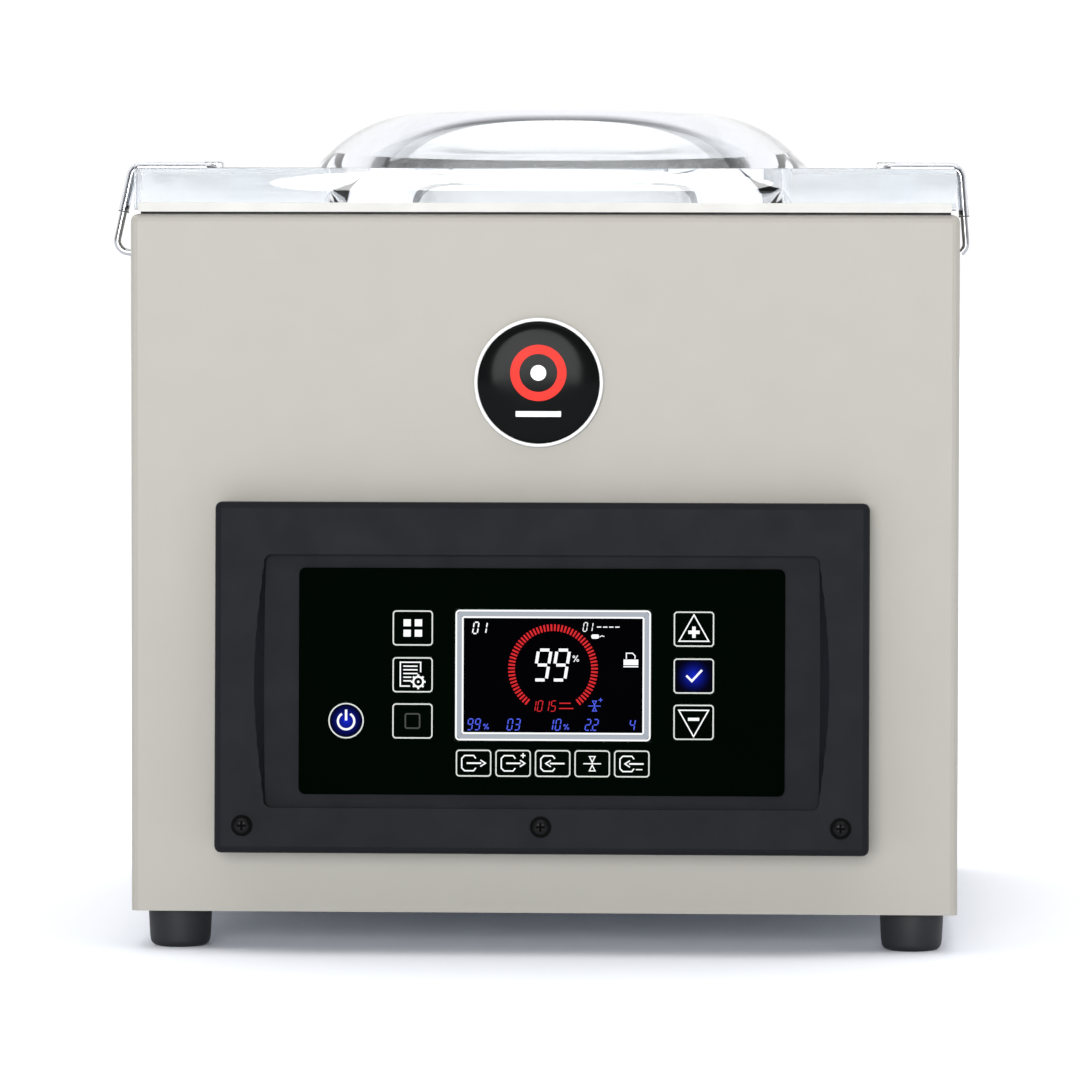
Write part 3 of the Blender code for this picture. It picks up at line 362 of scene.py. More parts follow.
class Marks:
    """Flat printed or lit marks on one leaning face, gathered into one mesh. Points are (x, z)."""

    def __init__(self, depth):
        self.shape = bmesh.new()
        self.depth = depth

    def fill(self, outline):
        """A convex or star-shaped patch, as a thin solid."""
        count = len(outline)
        front = [self.shape.verts.new((x, self.depth - MARK_THICKNESS, z)) for x, z in outline]
        back = [self.shape.verts.new((x, self.depth, z)) for x, z in outline]
        self.shape.faces.new(front)
        self.shape.faces.new(list(reversed(back)))
        for i in range(count):
            j = (i + 1) % count
            self.shape.faces.new((front[j], front[i], back[i], back[j]))

    def stroke(self, points, width, closed=False):
        """A line of even width through points, with mitred corners."""
        count = len(points)
        path = [Vector(p) for p in points]
        left, right = [], []
        for i, point in enumerate(path):
            before = path[i - 1] if closed or i > 0 else None
            after = path[(i + 1) % count] if closed or i < count - 1 else None
            arriving = (point - before).normalized() if before is not None else (after - point).normalized()
            leaving = (after - point).normalized() if after is not None else arriving
            normal = Vector((-(arriving + leaving).y, (arriving + leaving).x)).normalized()
            reach = width / 2 / max(0.35, normal.dot(Vector((-arriving.y, arriving.x))))
            left.append(point + normal * reach)
            right.append(point - normal * reach)
        rows = []
        for depth in (self.depth - MARK_THICKNESS, self.depth):
            rows.append([[self.shape.verts.new((p.x, depth, p.y)) for p in side] for side in (left, right)])
        (front_left, front_right), (back_left, back_right) = rows
        for i in range(count if closed else count - 1):
            j = (i + 1) % count
            self.shape.faces.new((front_left[i], front_left[j], front_right[j], front_right[i]))
            self.shape.faces.new((back_right[i], back_right[j], back_left[j], back_left[i]))
            self.shape.faces.new((back_left[i], back_left[j], front_left[j], front_left[i]))
            self.shape.faces.new((front_right[i], front_right[j], back_right[j], back_right[i]))
        if not closed:
            for i in (0, count - 1):
                self.shape.faces.new((front_left[i], front_right[i], back_right[i], back_left[i]))

    def bar(self, x, z, width, height):
        self.fill([(x - width / 2, z - height / 2), (x + width / 2, z - height / 2),
                   (x + width / 2, z + height / 2), (x - width / 2, z + height / 2)])

    def frame(self, x, z, width, height, line, corner):
        self.stroke(rounded(x, z, width, height, corner), line, closed=True)

    def ring(self, x, z, radius, line, start=0.0, end=360.0, count=40):
        closed = end - start >= 360.0
        steps = count if closed else count + 1
        points = [(x + radius * math.cos(math.radians(start + (end - start) * i / count)),
                   z + radius * math.sin(math.radians(start + (end - start) * i / count)))
                  for i in range(steps)]
        self.stroke(points, line, closed)

    def disc(self, x, z, radius, count=24):
        angles = [2 * math.pi * i / count for i in range(count)]
        self.fill([(x + radius * math.cos(a), z + radius * math.sin(a)) for a in angles])

    def digits(self, text, x, z, height, line, pitch=0.62, slant=0.16):
        """Seven-segment digits; x is the left edge and z the middle."""
        lit_bars = {"0": "abcdef", "1": "bc", "2": "abged", "3": "abgcd", "4": "fgbc", "5": "afgcd",
                    "9": "abcdfg", "-": "g"}
        half, width = height / 2, height * 0.42
        gap = line * 0.18
        ends = {"a": ((0, half), (width, half)), "b": ((width, half), (width, 0)),
                "c": ((width, 0), (width, -half)), "d": ((0, -half), (width, -half)),
                "e": ((0, 0), (0, -half)), "f": ((0, half), (0, 0)), "g": ((0, 0), (width, 0))}
        at = x
        for letter in text:
            if letter == ".":
                self.bar(at - height * 0.12 - slant * half, z - half, line, line)
                continue
            for bar in lit_bars[letter]:
                (x0, z0), (x1, z1) = ends[bar]
                run = Vector((x1 - x0, z1 - z0)).normalized() * (line * 0.35 + gap)
                first = (at + x0 + run.x + slant * (z0 + run.y), z + z0 + run.y)
                second = (at + x1 - run.x + slant * (z1 - run.y), z + z1 - run.y)
                self.stroke([first, second], line)
            at += height * pitch

    def percent(self, x, z, size, line):
        self.stroke([(x - size * 0.3, z - size * 0.5), (x + size * 0.3, z + size * 0.5)], line)
        self.ring(x - size * 0.3, z + size * 0.28, size * 0.15, line * 0.8, count=10)
        self.ring(x + size * 0.3, z - size * 0.28, size * 0.15, line * 0.8, count=10)

    def piece(self, name, material, body, slot):
        return finish_piece(name, self.shape, material, body, world=PANEL, smooth=30.0)


def rounded(x, z, width, height, corner, steps=5):
    """Outline of a rounded rectangle about a centre."""
    points = []
    for sx, sz, start in ((1, 1, 0), (-1, 1, 90), (-1, -1, 180), (1, -1, 270)):
        for i in range(steps + 1):
            angle = math.radians(start + 90 * i / steps)
            points.append((x + sx * (width / 2 - corner) + corner * math.cos(angle),
                           z + sz * (height / 2 - corner) + corner * math.sin(angle)))
    return points


def draw_triangle(marks, x, z, size, up, line):
    sign = 1 if up else -1
    points = [(x - size * 0.52, z - sign * size * 0.42), (x + size * 0.52, z - sign * size * 0.42),
              (x, z + sign * size * 0.5)]
    marks.stroke(points, line, closed=True)


def draw_tank(marks, x, z, size, inward, line):
    """A box open on its right, with an arrow that points out of it or into it."""
    left, right = x - size * 0.62, x + size * 0.12
    top = size * 0.40
    outline = [(right, z + top * 0.62), (right - size * 0.12, z + top), (left + size * 0.15, z + top),
               (left, z + top * 0.62), (left, z - top * 0.62), (left + size * 0.15, z - top),
               (right - size * 0.12, z - top), (right, z - top * 0.62)]
    marks.stroke(outline, line)
    tip, tail = (x - size * 0.36, x + size * 0.62) if inward else (x + size * 0.62, x - size * 0.36)
    sign = -1 if inward else 1
    marks.stroke([(tail, z), (tip - sign * size * 0.22, z)], line * 1.2)
    barb, spread = tip - sign * size * 0.26, size * 0.17
    marks.stroke([(barb, z - spread), (tip, z), (barb, z + spread)], line)


def draw_seal(marks, x, z, size, line):
    """Two jaws that close on a line."""
    for sign in (1, -1):
        marks.stroke([(x - size * 0.2, z + sign * size * 0.5), (x + size * 0.2, z + sign * size * 0.5),
                      (x, z + sign * size * 0.1)], line, closed=True)
    marks.stroke([(x - size * 0.62, z), (x + size * 0.62, z)], line)


def draw_plus(marks, x, z, size, line):
    marks.bar(x, z, size, line)
    marks.bar(x, z + (size + line) / 4, line, (size - line) / 2)
    marks.bar(x, z - (size + line) / 4, line, (size - line) / 2)


def draw_settings(marks, x, z):
    """A written page with a gear over its corner."""
    left, right, top, low = x - 0.0057, x + 0.0037, z + 0.0058, z - 0.0052
    marks.stroke([(x - 0.0012, low), (left, low), (left, top), (right, top), (right, z + 0.0012)], 0.0006)
    for i in range(5):
        end = right - 0.0014 if i < 3 else x - 0.0006
        marks.stroke([(left + 0.0014, top - 0.0018 - i * 0.0017), (end, top - 0.0018 - i * 0.0017)], 0.0006)
    gear_x, gear_z = x + 0.0026, z - 0.0032
    marks.ring(gear_x, gear_z, 0.0023, 0.0009, count=24)
    marks.disc(gear_x, gear_z, 0.0006, 12)
    for i in range(8):
        angle = 2 * math.pi * i / 8
        marks.stroke([(gear_x + 0.0026 * math.cos(angle), gear_z + 0.0026 * math.sin(angle)),
                      (gear_x + 0.0034 * math.cos(angle), gear_z + 0.0034 * math.sin(angle))], 0.0009)


def draw_icon(name, marks, x, z):
    """The pictogram of one key."""
    if name in ("plus", "minus"):
        draw_triangle(marks, x, z, 0.0132, name == "plus", 0.0006)
        low = -0.0014 if name == "plus" else 0.0014
        if name == "plus":
            draw_plus(marks, x, z + low, 0.0052, 0.0016)
        else:
            marks.bar(x, z + low, 0.0052, 0.0014)
    elif name == "settings":
        draw_settings(marks, x, z)
    elif name == "program":
        for dx in (-0.0026, 0.0026):
            for dz in (-0.0024, 0.0024):
                marks.bar(x + dx, z + dz, 0.0034, 0.0032)
    elif name == "stop":
        marks.frame(x, z, 0.0066, 0.0066, 0.0007, 0.0008)
    elif name == "confirm":
        marks.stroke([(x - 0.0034, z + 0.0002), (x - 0.0009, z - 0.0023), (x + 0.0038, z + 0.0028)], 0.0010)
    elif name == "power":
        marks.ring(x, z - 0.0002, 0.0038, 0.0010, 120, 420, 28)
        marks.bar(x, z + 0.0026, 0.0011, 0.0050)
    elif name == "seal":
        draw_seal(marks, x, z, 0.0066, 0.0005)
    else:
        draw_tank(marks, x, z, 0.0088, name in ("gas", "air"), 0.0006)
        if name == "extra_vacuum":
            draw_plus(marks, x + 0.0046, z + 0.0036, 0.0022, 0.0006)
        if name == "air":
            marks.bar(x + 0.0034, z - 0.0026, 0.0030, 0.0005)


KEY_ROWS = (0.1041, 0.0825, 0.0612)
KEYS = [(name, -0.0595, z) for name, z in zip(("program", "settings", "stop"), KEY_ROWS)]
KEYS += [(name, 0.0702, z) for name, z in zip(("plus", "confirm", "minus"), KEY_ROWS)]
KEYS += [(name, DISPLAY_X + (i - 2) * 0.01825, 0.0419)
         for i, name in enumerate(("vacuum", "extra_vacuum", "gas", "seal", "air"))]
KEYS.append(("power", -0.0902, 0.0612))


def make_key_marks(paints):
    """Outline and pictogram of every key, riding on its key."""
    slot = "key_plastic"
    for name, x, z in KEYS:
        body = f"key_{name}_cap"
        low, high = (Vector(corner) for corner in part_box(f"key_{name}"))
        width = high.x - low.x
        height = (high.z - low.z) / math.cos(PANEL_LEAN) - 0.0045 * math.tan(PANEL_LEAN)
        outline = Marks(KEY_FACE)
        if name == "power":
            outline.ring(x, z, width / 2 - 0.0004, 0.0006, count=56)
        else:
            outline.frame(x, z, width - 0.0006, height - 0.0006, 0.0006, 0.0014)
        outline.piece(f"outline_{name}", paints["outline_mark"], body, slot)
        if name in ("confirm", "power"):
            light = Marks(KEY_FACE)
            if name == "power":
                light.disc(x, z, width / 2 - 0.0008, 40)
            else:
                light.fill(rounded(x, z, width - 0.0014, height - 0.0014, 0.001))
            middle = PANEL @ Vector((x, KEY_FACE - MARK_THICKNESS, z))
            light.piece(f"glow_{name}", glow(f"glow_{name}", middle, 0.0085), body, slot)
        icon = Marks(KEY_FACE - MARK_THICKNESS)
        draw_icon(name, icon, x, z)
        paint = "dim_mark" if name == "stop" else "white_mark"
        icon.piece(f"icon_{name}", paints[paint], body, slot)


def make_display(paints):
    """Frame and lit contents of the display."""
    x, z, face = DISPLAY_X, DISPLAY_Z, DISPLAY_FACE
    slot = "display_glass"
    white = Marks(face)
    white.frame(x, z, 0.0894, 0.0595, 0.0008, 0.0016)
    white.frame(x, z, 0.0834, 0.0535, 0.0008, 0.0005)
    white.digits("01", x - 0.0368, z + 0.0218, 0.0052, 0.0006, pitch=0.74)
    white.digits("01", x + 0.0140, z + 0.0224, 0.0040, 0.0004)
    white.digits("99", x - 0.0078, z + 0.0048, 0.0138, 0.0014)
    white.percent(x + 0.0105, z + 0.0078, 0.0030, 0.0004)
    for i in range(4):
        white.bar(x + 0.0212 + i * 0.0028, z + 0.0224, 0.0020, 0.0005)
    white.fill(rounded(x + 0.0194, z + 0.0180, 0.0036, 0.0020, 0.0008, 3))
    white.stroke([(x + 0.0214, z + 0.0178), (x + 0.0226, z + 0.0184), (x + 0.0236, z + 0.0180)], 0.0004)
    white.bar(x + 0.0359, z + 0.0062, 0.0068, 0.0026)
    white.bar(x + 0.0359, z + 0.0042, 0.0068, 0.0006)
    white.stroke([(x + 0.0338, z + 0.0078), (x + 0.0338, z + 0.0104), (x + 0.0366, z + 0.0104),
                  (x + 0.0378, z + 0.0092), (x + 0.0378, z + 0.0078)], 0.0005)
    white.piece("display_white", paints["white_mark"], "base", slot)
    border = Marks(face)
    border.frame(x, z, 0.0864, 0.0565, 0.0022, 0.0008)
    border.piece("display_border", paints["grey_mark"], "base", slot)
    red = Marks(face)
    segments, gap = 60, 38.0
    for i in range(segments):
        angle = math.radians(-90 + gap + (360 - 2 * gap) * i / (segments - 1))
        direction = Vector((math.cos(angle), math.sin(angle)))
        centre = Vector((x, z + 0.0029))
        red.stroke([centre + direction * 0.0176, centre + direction * 0.0207], 0.00085)
    red.digits("1015", x - 0.0100, z - 0.0141, 0.0048, 0.0004, pitch=0.64)
    red.bar(x + 0.0056, z - 0.0128, 0.0052, 0.0005)
    red.bar(x + 0.0062, z - 0.0152, 0.0066, 0.0005)
    red.piece("display_red", paints["red_mark"], "base", slot)
    blue = Marks(face)
    row = z - 0.0227
    for text, at in (("99", -0.0392), ("03", -0.0208), ("10", -0.0020), ("2.2", 0.0152), ("4", 0.0356)):
        blue.digits(text, x + at, row, 0.0050, 0.0005, pitch=0.68)
    for at in (-0.0308, 0.0062):
        blue.percent(x + at, row - 0.0010, 0.0026, 0.0004)
    draw_seal(blue, x + 0.0192, z - 0.0140, 0.0046, 0.0004)
    draw_plus(blue, x + 0.0220, z - 0.0112, 0.0018, 0.0004)
    blue.piece("display_blue", paints["blue_mark"], "base", slot)


# ---------------------------------------------------------------- lid


def dome_ring(shape, offset, height, sides):
    """One ring of the dome: a rounded oval in plan."""
    exponent = 2.3
    ring = []
    for i in range(sides):
        angle = 2 * math.pi * i / sides
        cosine, sine = math.cos(angle), math.sin(angle)
        x = math.copysign(abs(cosine) ** (2 / exponent), cosine) * (DOME_HALF_WIDTH - offset)
        y = math.copysign(abs(sine) ** (2 / exponent), sine) * (DOME_HALF_DEPTH - offset)
        ring.append(shape.verts.new((x, DOME_CENTRE_Y + y, height)))
    return ring


def dome_solid(name, profile, sides=128):
    shape = bmesh.new()
    rings = [dome_ring(shape, offset, height, sides) for offset, height in profile]
    for lower, upper in zip(rings, rings[1:]):
        for i in range(sides):
            j = (i + 1) % sides
            shape.faces.new((lower[i], lower[j], upper[j], upper[i]))
    shape.faces.new(list(reversed(rings[0])))
    shape.faces.new(rings[-1])
    return helper(name, shape)


def helper(name, shape):
    """An object that a Boolean uses, removed once it has been applied."""
    mesh = bpy.data.meshes.new(name)
    shape.to_mesh(mesh)
    shape.free()
    made = bpy.data.objects.new(name, mesh)
    bpy.context.scene.collection.objects.link(made)
    return made


def block(name, low, high, radius=0.0, segments=4, edges="xyz"):
    shape = bmesh.new()
    bmesh.ops.create_cube(shape, size=1.0)
    low, high = Vector(low), Vector(high)
    bmesh.ops.scale(shape, vec=high - low, verts=shape.verts)
    bmesh.ops.translate(shape, vec=(low + high) / 2, verts=shape.verts)
    if radius:
        chosen = []
        for edge in shape.edges:
            along = edge.verts[1].co - edge.verts[0].co
            axis = max(range(3), key=lambda i: abs(along[i]))
            if "xyz"[axis] in edges:
                chosen.append(edge)
        bmesh.ops.bevel(shape, geom=chosen, offset=radius, segments=segments, profile=0.5, affect="EDGES")
    return helper(name, shape)


def combine(base, steps):
    """Applies Booleans in turn and returns the result as a bmesh."""
    for operation, other in steps:
        modifier = base.modifiers.new("step", "BOOLEAN")
        modifier.operation = operation
        modifier.object = other
        modifier.solver = "EXACT"
    bpy.context.view_layer.update()
    graph = bpy.context.evaluated_depsgraph_get()
    mesh = bpy.data.meshes.new_from_object(base.evaluated_get(graph))
    shape = bmesh.new()
    shape.from_mesh(mesh)
    bpy.data.meshes.remove(mesh)
    for used in [base] + [other for _, other in steps]:
        bpy.data.objects.remove(used)
    return shape


def make_lid(paints):
    """Clear plate with its matt sawn rear edge (with its painted glow), a pale strip on its front foot that
    paints the deck seen refracted through that edge, hollow dome, hook grooves and lugs.
    """
    half = LID_HIGH.x
    lid = block("lid_plate", (-half, LID_LOW.y, LID_LOW.z), (half, LID_HIGH.y, LID_TOP), 0.0004, 2)
    outer = [(-0.0002, -0.001)] + bezier((0.0, 0.0), (0.013, 0.015), (0.029, 0.0282), (0.064, 0.0282), 20)
    inner = bezier((0.0165, 0.0), (0.027, 0.010), (0.043, 0.0197), (0.071, 0.0197), 16)
    inner = [(0.0135, -LID_THICKNESS - 0.01)] + inner
    steps = [("UNION", dome_solid("dome_outside", [(o, LID_TOP + h) for o, h in outer])),
             ("DIFFERENCE", dome_solid("dome_inside", [(o, LID_TOP + h) for o, h in inner]))]
    reach = 0.0027
    for side in (-1, 1):
        low, high = sorted((side * (HOOK_PIVOT_X - 0.0045), side * (HOOK_PIVOT_X + 0.0045)))
        steps.append(("UNION", block("lug", (low, HOOK_Y + 0.0060, LID_TOP - 0.001),
                                     (high, HOOK_Y + 0.0160, HOOK_PIVOT_Z + 0.0026), 0.0006)))
        low, high = sorted((side * (HOOK_PIVOT_X - 0.003), side * (half + 0.01)))
        steps.append(("DIFFERENCE", block("groove", (low, HOOK_Y - reach, HOOK_PIVOT_Z - reach),
                                          (high, HOOK_Y + reach, LID_TOP + 0.01), 0.0012, 3, "x")))
        low, high = sorted((side * (half - 0.0014), side * (half + 0.01)))
        steps.append(("DIFFERENCE", block("notch", (low, HOOK_Y - reach, LID_LOW.z - 0.01),
                                          (high, HOOK_Y + reach, LID_TOP + 0.01), 0.0010, 3, "z")))
        bore = bmesh.new()
        sweep(bore, [Vector((side * HOOK_PIVOT_X, HOOK_Y - 0.001, HOOK_PIVOT_Z)),
                     Vector((side * HOOK_PIVOT_X, HOOK_Y + 0.0145, HOOK_PIVOT_Z))], 0.0019, 24)
        bmesh.ops.recalc_face_normals(bore, faces=bore.faces)
        steps.append(("DIFFERENCE", helper("bore", bore)))
    shape = combine(lid, steps)
    piece = finish_piece("clear_lid", shape, paints["lid"], "lid", ["lid"], smooth=32.0)
    # the rear faces get the matt sawn edge with its painted glow
    piece.data.materials.append(paints["sawn"])
    for face in piece.data.polygons:
        if face.center.y > LID_HIGH.y - 0.0002 and face.normal.y > 0.9:
            face.material_index = 1
    # painted refraction: a thin pale strip on the lid's front foot stands in for the deck seen through the
    # acrylic there
    refraction_band = bmesh.new()
    bmesh.ops.create_cube(refraction_band, size=1.0)
    low = Vector((-half + 0.002, LID_LOW.y - 0.0003, LID_LOW.z - 0.0009))
    high = Vector((half - 0.002, LID_LOW.y - 0.00005, LID_LOW.z + 0.0034))
    bmesh.ops.scale(refraction_band, vec=high - low, verts=refraction_band.verts)
    bmesh.ops.translate(refraction_band, vec=(low + high) / 2, verts=refraction_band.verts)
    finish_piece("lid_painted_refraction_band", refraction_band, paints["refraction_band"], "lid")


# ---------------------------------------------------------------- hooks


def hook_route(across, lean, clearance, low_z, tip):
    """Centre line: pivot end along Y, leg across the lid, drop beside it, inward tip."""
    x, z, corner, bend = HOOK_PIVOT_X, HOOK_PIVOT_Z, 0.003, 0.005
    start = LID_HIGH.x + SLEEVE_RADIUS + clearance - bend * math.cos(lean)
    points = [(x, HOOK_Y + 0.0130, z), (x, HOOK_Y + 0.0100, z), (x, HOOK_Y + 0.0065, z)]
    points += arc((x + corner, HOOK_Y + corner, z), corner, math.pi, math.pi * 1.5, 8, (0, 1))
    points += [(x + corner + (start - x - corner) * i / 4, HOOK_Y, z) for i in range(1, 4)]
    points += arc((start, HOOK_Y, z - bend), bend, math.pi / 2, lean, 14, (0, 2))
    top_x, _, top_z = points[-1]
    low_x = top_x + (top_z - low_z) * math.tan(lean)
    points += [(top_x + (low_x - top_x) * share, HOOK_Y, top_z + (low_z - top_z) * share)
               for share in (i / 6 for i in range(1, 7))]
    points += tip(low_x, low_z)
    return [Vector((across * px, py, pz)) for px, py, pz in points]


def left_tip(x, z):
    centre = (x - 0.0055, HOOK_Y, z - 0.0005)
    points = arc(centre, 0.0056, math.radians(-12), math.radians(-72), 8, (0, 2))
    points.append((CABINET_HIGH.x + 0.0006, HOOK_Y, points[-1][2] - 0.0010))
    return points


def right_tip(x, z):
    centre = (x - 0.0052, HOOK_Y, z - 0.0004)
    return arc(centre, 0.0052, math.radians(-8), math.radians(-56), 8, (0, 2))


def make_hooks(paints):
    """Bright wire hooks, each with its clear sleeve and a dark band of painted shade at the sleeve's end.
    """
    shapes = (("left", -1, 12.5, 0.0030, 0.3300, left_tip), ("right", 1, 4.5, 0.0002, 0.3290, right_tip))
    for side, across, lean, clearance, low_z, tip in shapes:
        route = hook_route(across, math.radians(lean), clearance, low_z, tip)
        wire = sweep(bmesh.new(), route, WIRE_RADIUS, 24)
        finish_piece(f"hook_wire_{side}", wire, paints["wire"], f"hook_{side}",
                     [f"lid_hook_{side}"])
        end = LID_LOW.z - (0.0012 if side == "left" else 0.0030)
        covered = [p for p in route if abs(p.x) > HOOK_PIVOT_X + 0.0025 and p.z > end]
        last, after = covered[-1], route[route.index(covered[-1]) + 1]
        covered.append(last.lerp(after, (last.z - end) / (last.z - after.z)))
        sleeve = sweep(bmesh.new(), covered, SLEEVE_RADIUS, 32, WIRE_RADIUS + 0.0002)
        finish_piece(f"sleeve_{side}", sleeve, paints["sleeve"], f"hook_{side}",
                     [f"hook_sleeve_{side}"])
        # painted shade: a short opaque dark band at the sleeve's end stands in for the dark ring the clear
        # tube shows there
        tail = [covered[-1], covered[-1].lerp(covered[-2], 0.0005 / (covered[-2] - covered[-1]).length)]
        rim = sweep(bmesh.new(), tail, SLEEVE_RADIUS + 0.0001, 32, WIRE_RADIUS + 0.0001)
        finish_piece(f"sleeve_rim_{side}", rim, paints["sleeve_rim"], f"hook_{side}")


# ---------------------------------------------------------------- badge, feet, screws


def crown_height(radius):
    """Height of the badge's clear dome over its base at this distance from its middle."""
    share = min(1.0, radius / 0.0279)
    return 0.0020 + 0.0024 * (1 - share ** 2.6) ** 0.75


def make_badge(paints):
    """Domed badge in a light rim, with a plain ring, a dot and a bar as its motif."""
    low, high = (Vector(corner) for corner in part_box("badge"))
    centre = Vector(((low.x + high.x) / 2, high.y, (low.z + high.z) / 2))
    turn = Matrix.Translation(centre) @ Matrix.Rotation(math.radians(90), 4, "X")
    rim = [(0.0, 0.0), (0.0300, 0.0), (0.0300, 0.0014), (0.0297, 0.0020), (0.0290, 0.0022),
           (0.0285, 0.0020), (0.0284, 0.0014), (0.0, 0.0014)]
    finish_piece("badge_rim", lathe(rim, 96), paints["badge_rim"], "base", ["badge"],
                 world=turn)
    crown = [(0.0, 0.0015), (0.0283, 0.0015), (0.0279, 0.0020)]
    crown += [(0.0279 * (1 - i / 16), crown_height(0.0279 * (1 - i / 16))) for i in range(1, 17)]
    finish_piece("badge_dome", lathe(crown, 96), paints["badge"], "base", world=turn)
    ring_middle = 0.0045
    ring = bmesh.new()
    draped(ring, round_rows((0.0088, 0.0102, 0.0116, 0.0130), ring_middle, 96))
    finish_piece("badge_ring", ring, paints["badge_red"], "base", world=turn)
    marks = bmesh.new()
    draped(marks, round_rows((0.0, 0.0018, 0.0036), ring_middle, 48))
    bar_half = 0.0105
    draped(marks, [[(bar_half * (i / 12 - 1), z) for z in (-0.0158, -0.0145, -0.0132)] for i in range(25)])
    finish_piece("badge_marks", marks, paints["badge_white"], "base", world=turn)


def round_rows(radii, middle, count):
    """Rows of points across a ring or disc, once round."""
    return [[(r * math.cos(a), r * math.sin(a) + middle) for r in radii]
            for a in (2 * math.pi * i / count for i in range(count + 1))]


def draped(shape, rows):
    """A thin layer laid over the badge's dome: rows of (x, y) points."""
    lift, depth = 0.00006, 0.0002
    patch = bmesh.new()
    grid = [[patch.verts.new((x, y, crown_height(math.hypot(x, y)) + lift)) for x, y in row]
            for row in rows]
    for first, second in zip(grid, grid[1:]):
        for i in range(len(first) - 1):
            patch.faces.new((first[i], second[i], second[i + 1], first[i + 1]))
    bmesh.ops.remove_doubles(patch, verts=patch.verts, dist=1e-7)
    bmesh.ops.dissolve_degenerate(patch, edges=patch.edges, dist=1e-7)
    thicken(patch, depth)
    mesh = bpy.data.meshes.new("patch")
    patch.to_mesh(mesh)
    patch.free()
    shape.from_mesh(mesh)
    bpy.data.meshes.remove(mesh)


def thicken(shape, depth=0.00025):
    """Gives a flat sheet that faces +Z a thickness below it."""
    made = bmesh.ops.extrude_face_region(shape, geom=list(shape.faces))
    moved = [v for v in made["geom"] if isinstance(v, bmesh.types.BMVert)]
    bmesh.ops.translate(shape, vec=(0.0, 0.0, -depth), verts=moved)


def make_feet(paints):
    """Tapered rubber feet with a rolled lower edge."""
    profile = [(0.0, 0.0177), (0.0144, 0.0177), (0.01475, 0.0173), (0.01475, 0.0150), (0.0142, 0.0046)]
    profile += [(0.0104 + 0.0036 * math.cos(a), 0.0036 - 0.0036 * math.sin(a))
                for a in (math.radians(10 * i) for i in range(10))]
    profile += [(0.0056, 0.0), (0.0050, 0.0005), (0.0050, 0.007), (0.0, 0.007)]
    for end in ("front", "rear"):
        for side in ("left", "right"):
            low, high = (Vector(corner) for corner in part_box(f"foot_{end}_{side}"))
            middle = (low + high) / 2
            place = Matrix.Translation((middle.x, middle.y, 0.0))
            finish_piece(f"rubber_foot_{end}_{side}", lathe(profile, 64), paints["rubber"], "base",
                         [f"foot_{end}_{side}"], world=place)


def screw_head(radius, height, slot_width, slot_depth):
    """Pan head with a cross recess."""
    profile = [(0.0, height)]
    profile += [(radius * math.sin(a), height * math.cos(a) ** 0.6)
                for a in (math.radians(12 * i) for i in range(1, 7))]
    profile += [(radius, 0.0004), (radius, 0.0), (0.0, 0.0)]
    head = helper("head", lathe(profile, 48))
    arm = radius * 0.56
    half, bottom, above = slot_width / 2, height - slot_depth, height + 0.002
    across = block("across", (-arm, -half, bottom), (arm, half, above), slot_width * 0.2, 2, "z")
    down = block("down", (-half, -arm, bottom), (half, arm, above), slot_width * 0.2, 2, "z")
    return combine(head, [("DIFFERENCE", across), ("DIFFERENCE", down)])


def make_screws(paints):
    """The three black screws of the bezel, each with a thin dark disc of painted shade around its head for
    the shadow in its recess.
    """
    # painted shade: a thin near-black disc, wider than the head, stands in for the shadow in each screw's
    # recess
    recess = [(0.0, 0.0002), (0.0047, 0.0002), (0.0049, 0.0), (0.0, 0.0)]
    for side, x in (("left", -SCREW_SPACING), ("middle", 0.0), ("right", SCREW_SPACING)):
        shape = screw_head(0.0037, 0.0020, 0.0011, 0.0014)
        shank = bmesh.new()
        sweep(shank, [Vector((0, 0, -0.0235)), Vector((0, 0, 0.0001))], 0.0019, 20)
        mesh = bpy.data.meshes.new("shank")
        shank.to_mesh(mesh)
        shape.from_mesh(mesh)
        shank.free()
        bpy.data.meshes.remove(mesh)
        turn = PANEL @ Matrix.Translation((x, -0.0003, SCREW_Z)) @ Matrix.Rotation(math.radians(90), 4, "X")
        finish_piece(f"screw_{side}", shape, paints["screw"], "base",
                     [f"bezel_screw_{side}"], world=turn)
        finish_piece(f"screw_painted_shade_{side}", lathe(recess, 48), paints["painted_recess_shade"], "base",
                     world=turn @ Matrix.Translation((0.0, 0.0, 0.0003)))


# ---------------------------------------------------------------- carried-over nodes


def repaint(paints):
    """Gives every CAD node that stays its material."""
    looks = {
        "coat": ["cabinet", "rear_panel"],
        "zinc": ["base_plate", "lift_rod_left", "lift_rod_right", "gas_spring_rod_left",
                 "gas_spring_rod_right", "motor_rotor"],
        "steel": ["vacuum_chamber", "hinge_shaft"],
        "hinge": ["hinge_block_left", "hinge_block_right", "hinge_arm_left", "hinge_arm_right"],
        "aluminium": ["seal_bar", "counter_bar_holder", "pump_housing", "oil_case", "valve_block",
                      "lift_cylinder_left", "lift_cylinder_right"],
        "gasket": ["chamber_gasket", "vacuum_hose"],
        "silicone": ["counter_bar"],
        "band": ["seal_wire"],
        "filler": ["filler_plate"],
        "enamel": ["pump_motor", "seal_transformer", "gas_spring_cylinder_left",
                   "gas_spring_cylinder_right"],
        "board": ["control_board"],
        "bezel": ["control_bezel"],
        "inlet": ["power_inlet"],
        "overlay": ["control_overlay"] + [f"key_{name}" for name, _, _ in KEYS],
        "screen": ["lcd_module"],
    }
    for look, nodes in looks.items():
        for node in nodes:
            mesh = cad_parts[node].data
            mesh.materials.clear()
            mesh.materials.append(paints[look])


# ---------------------------------------------------------------- studio


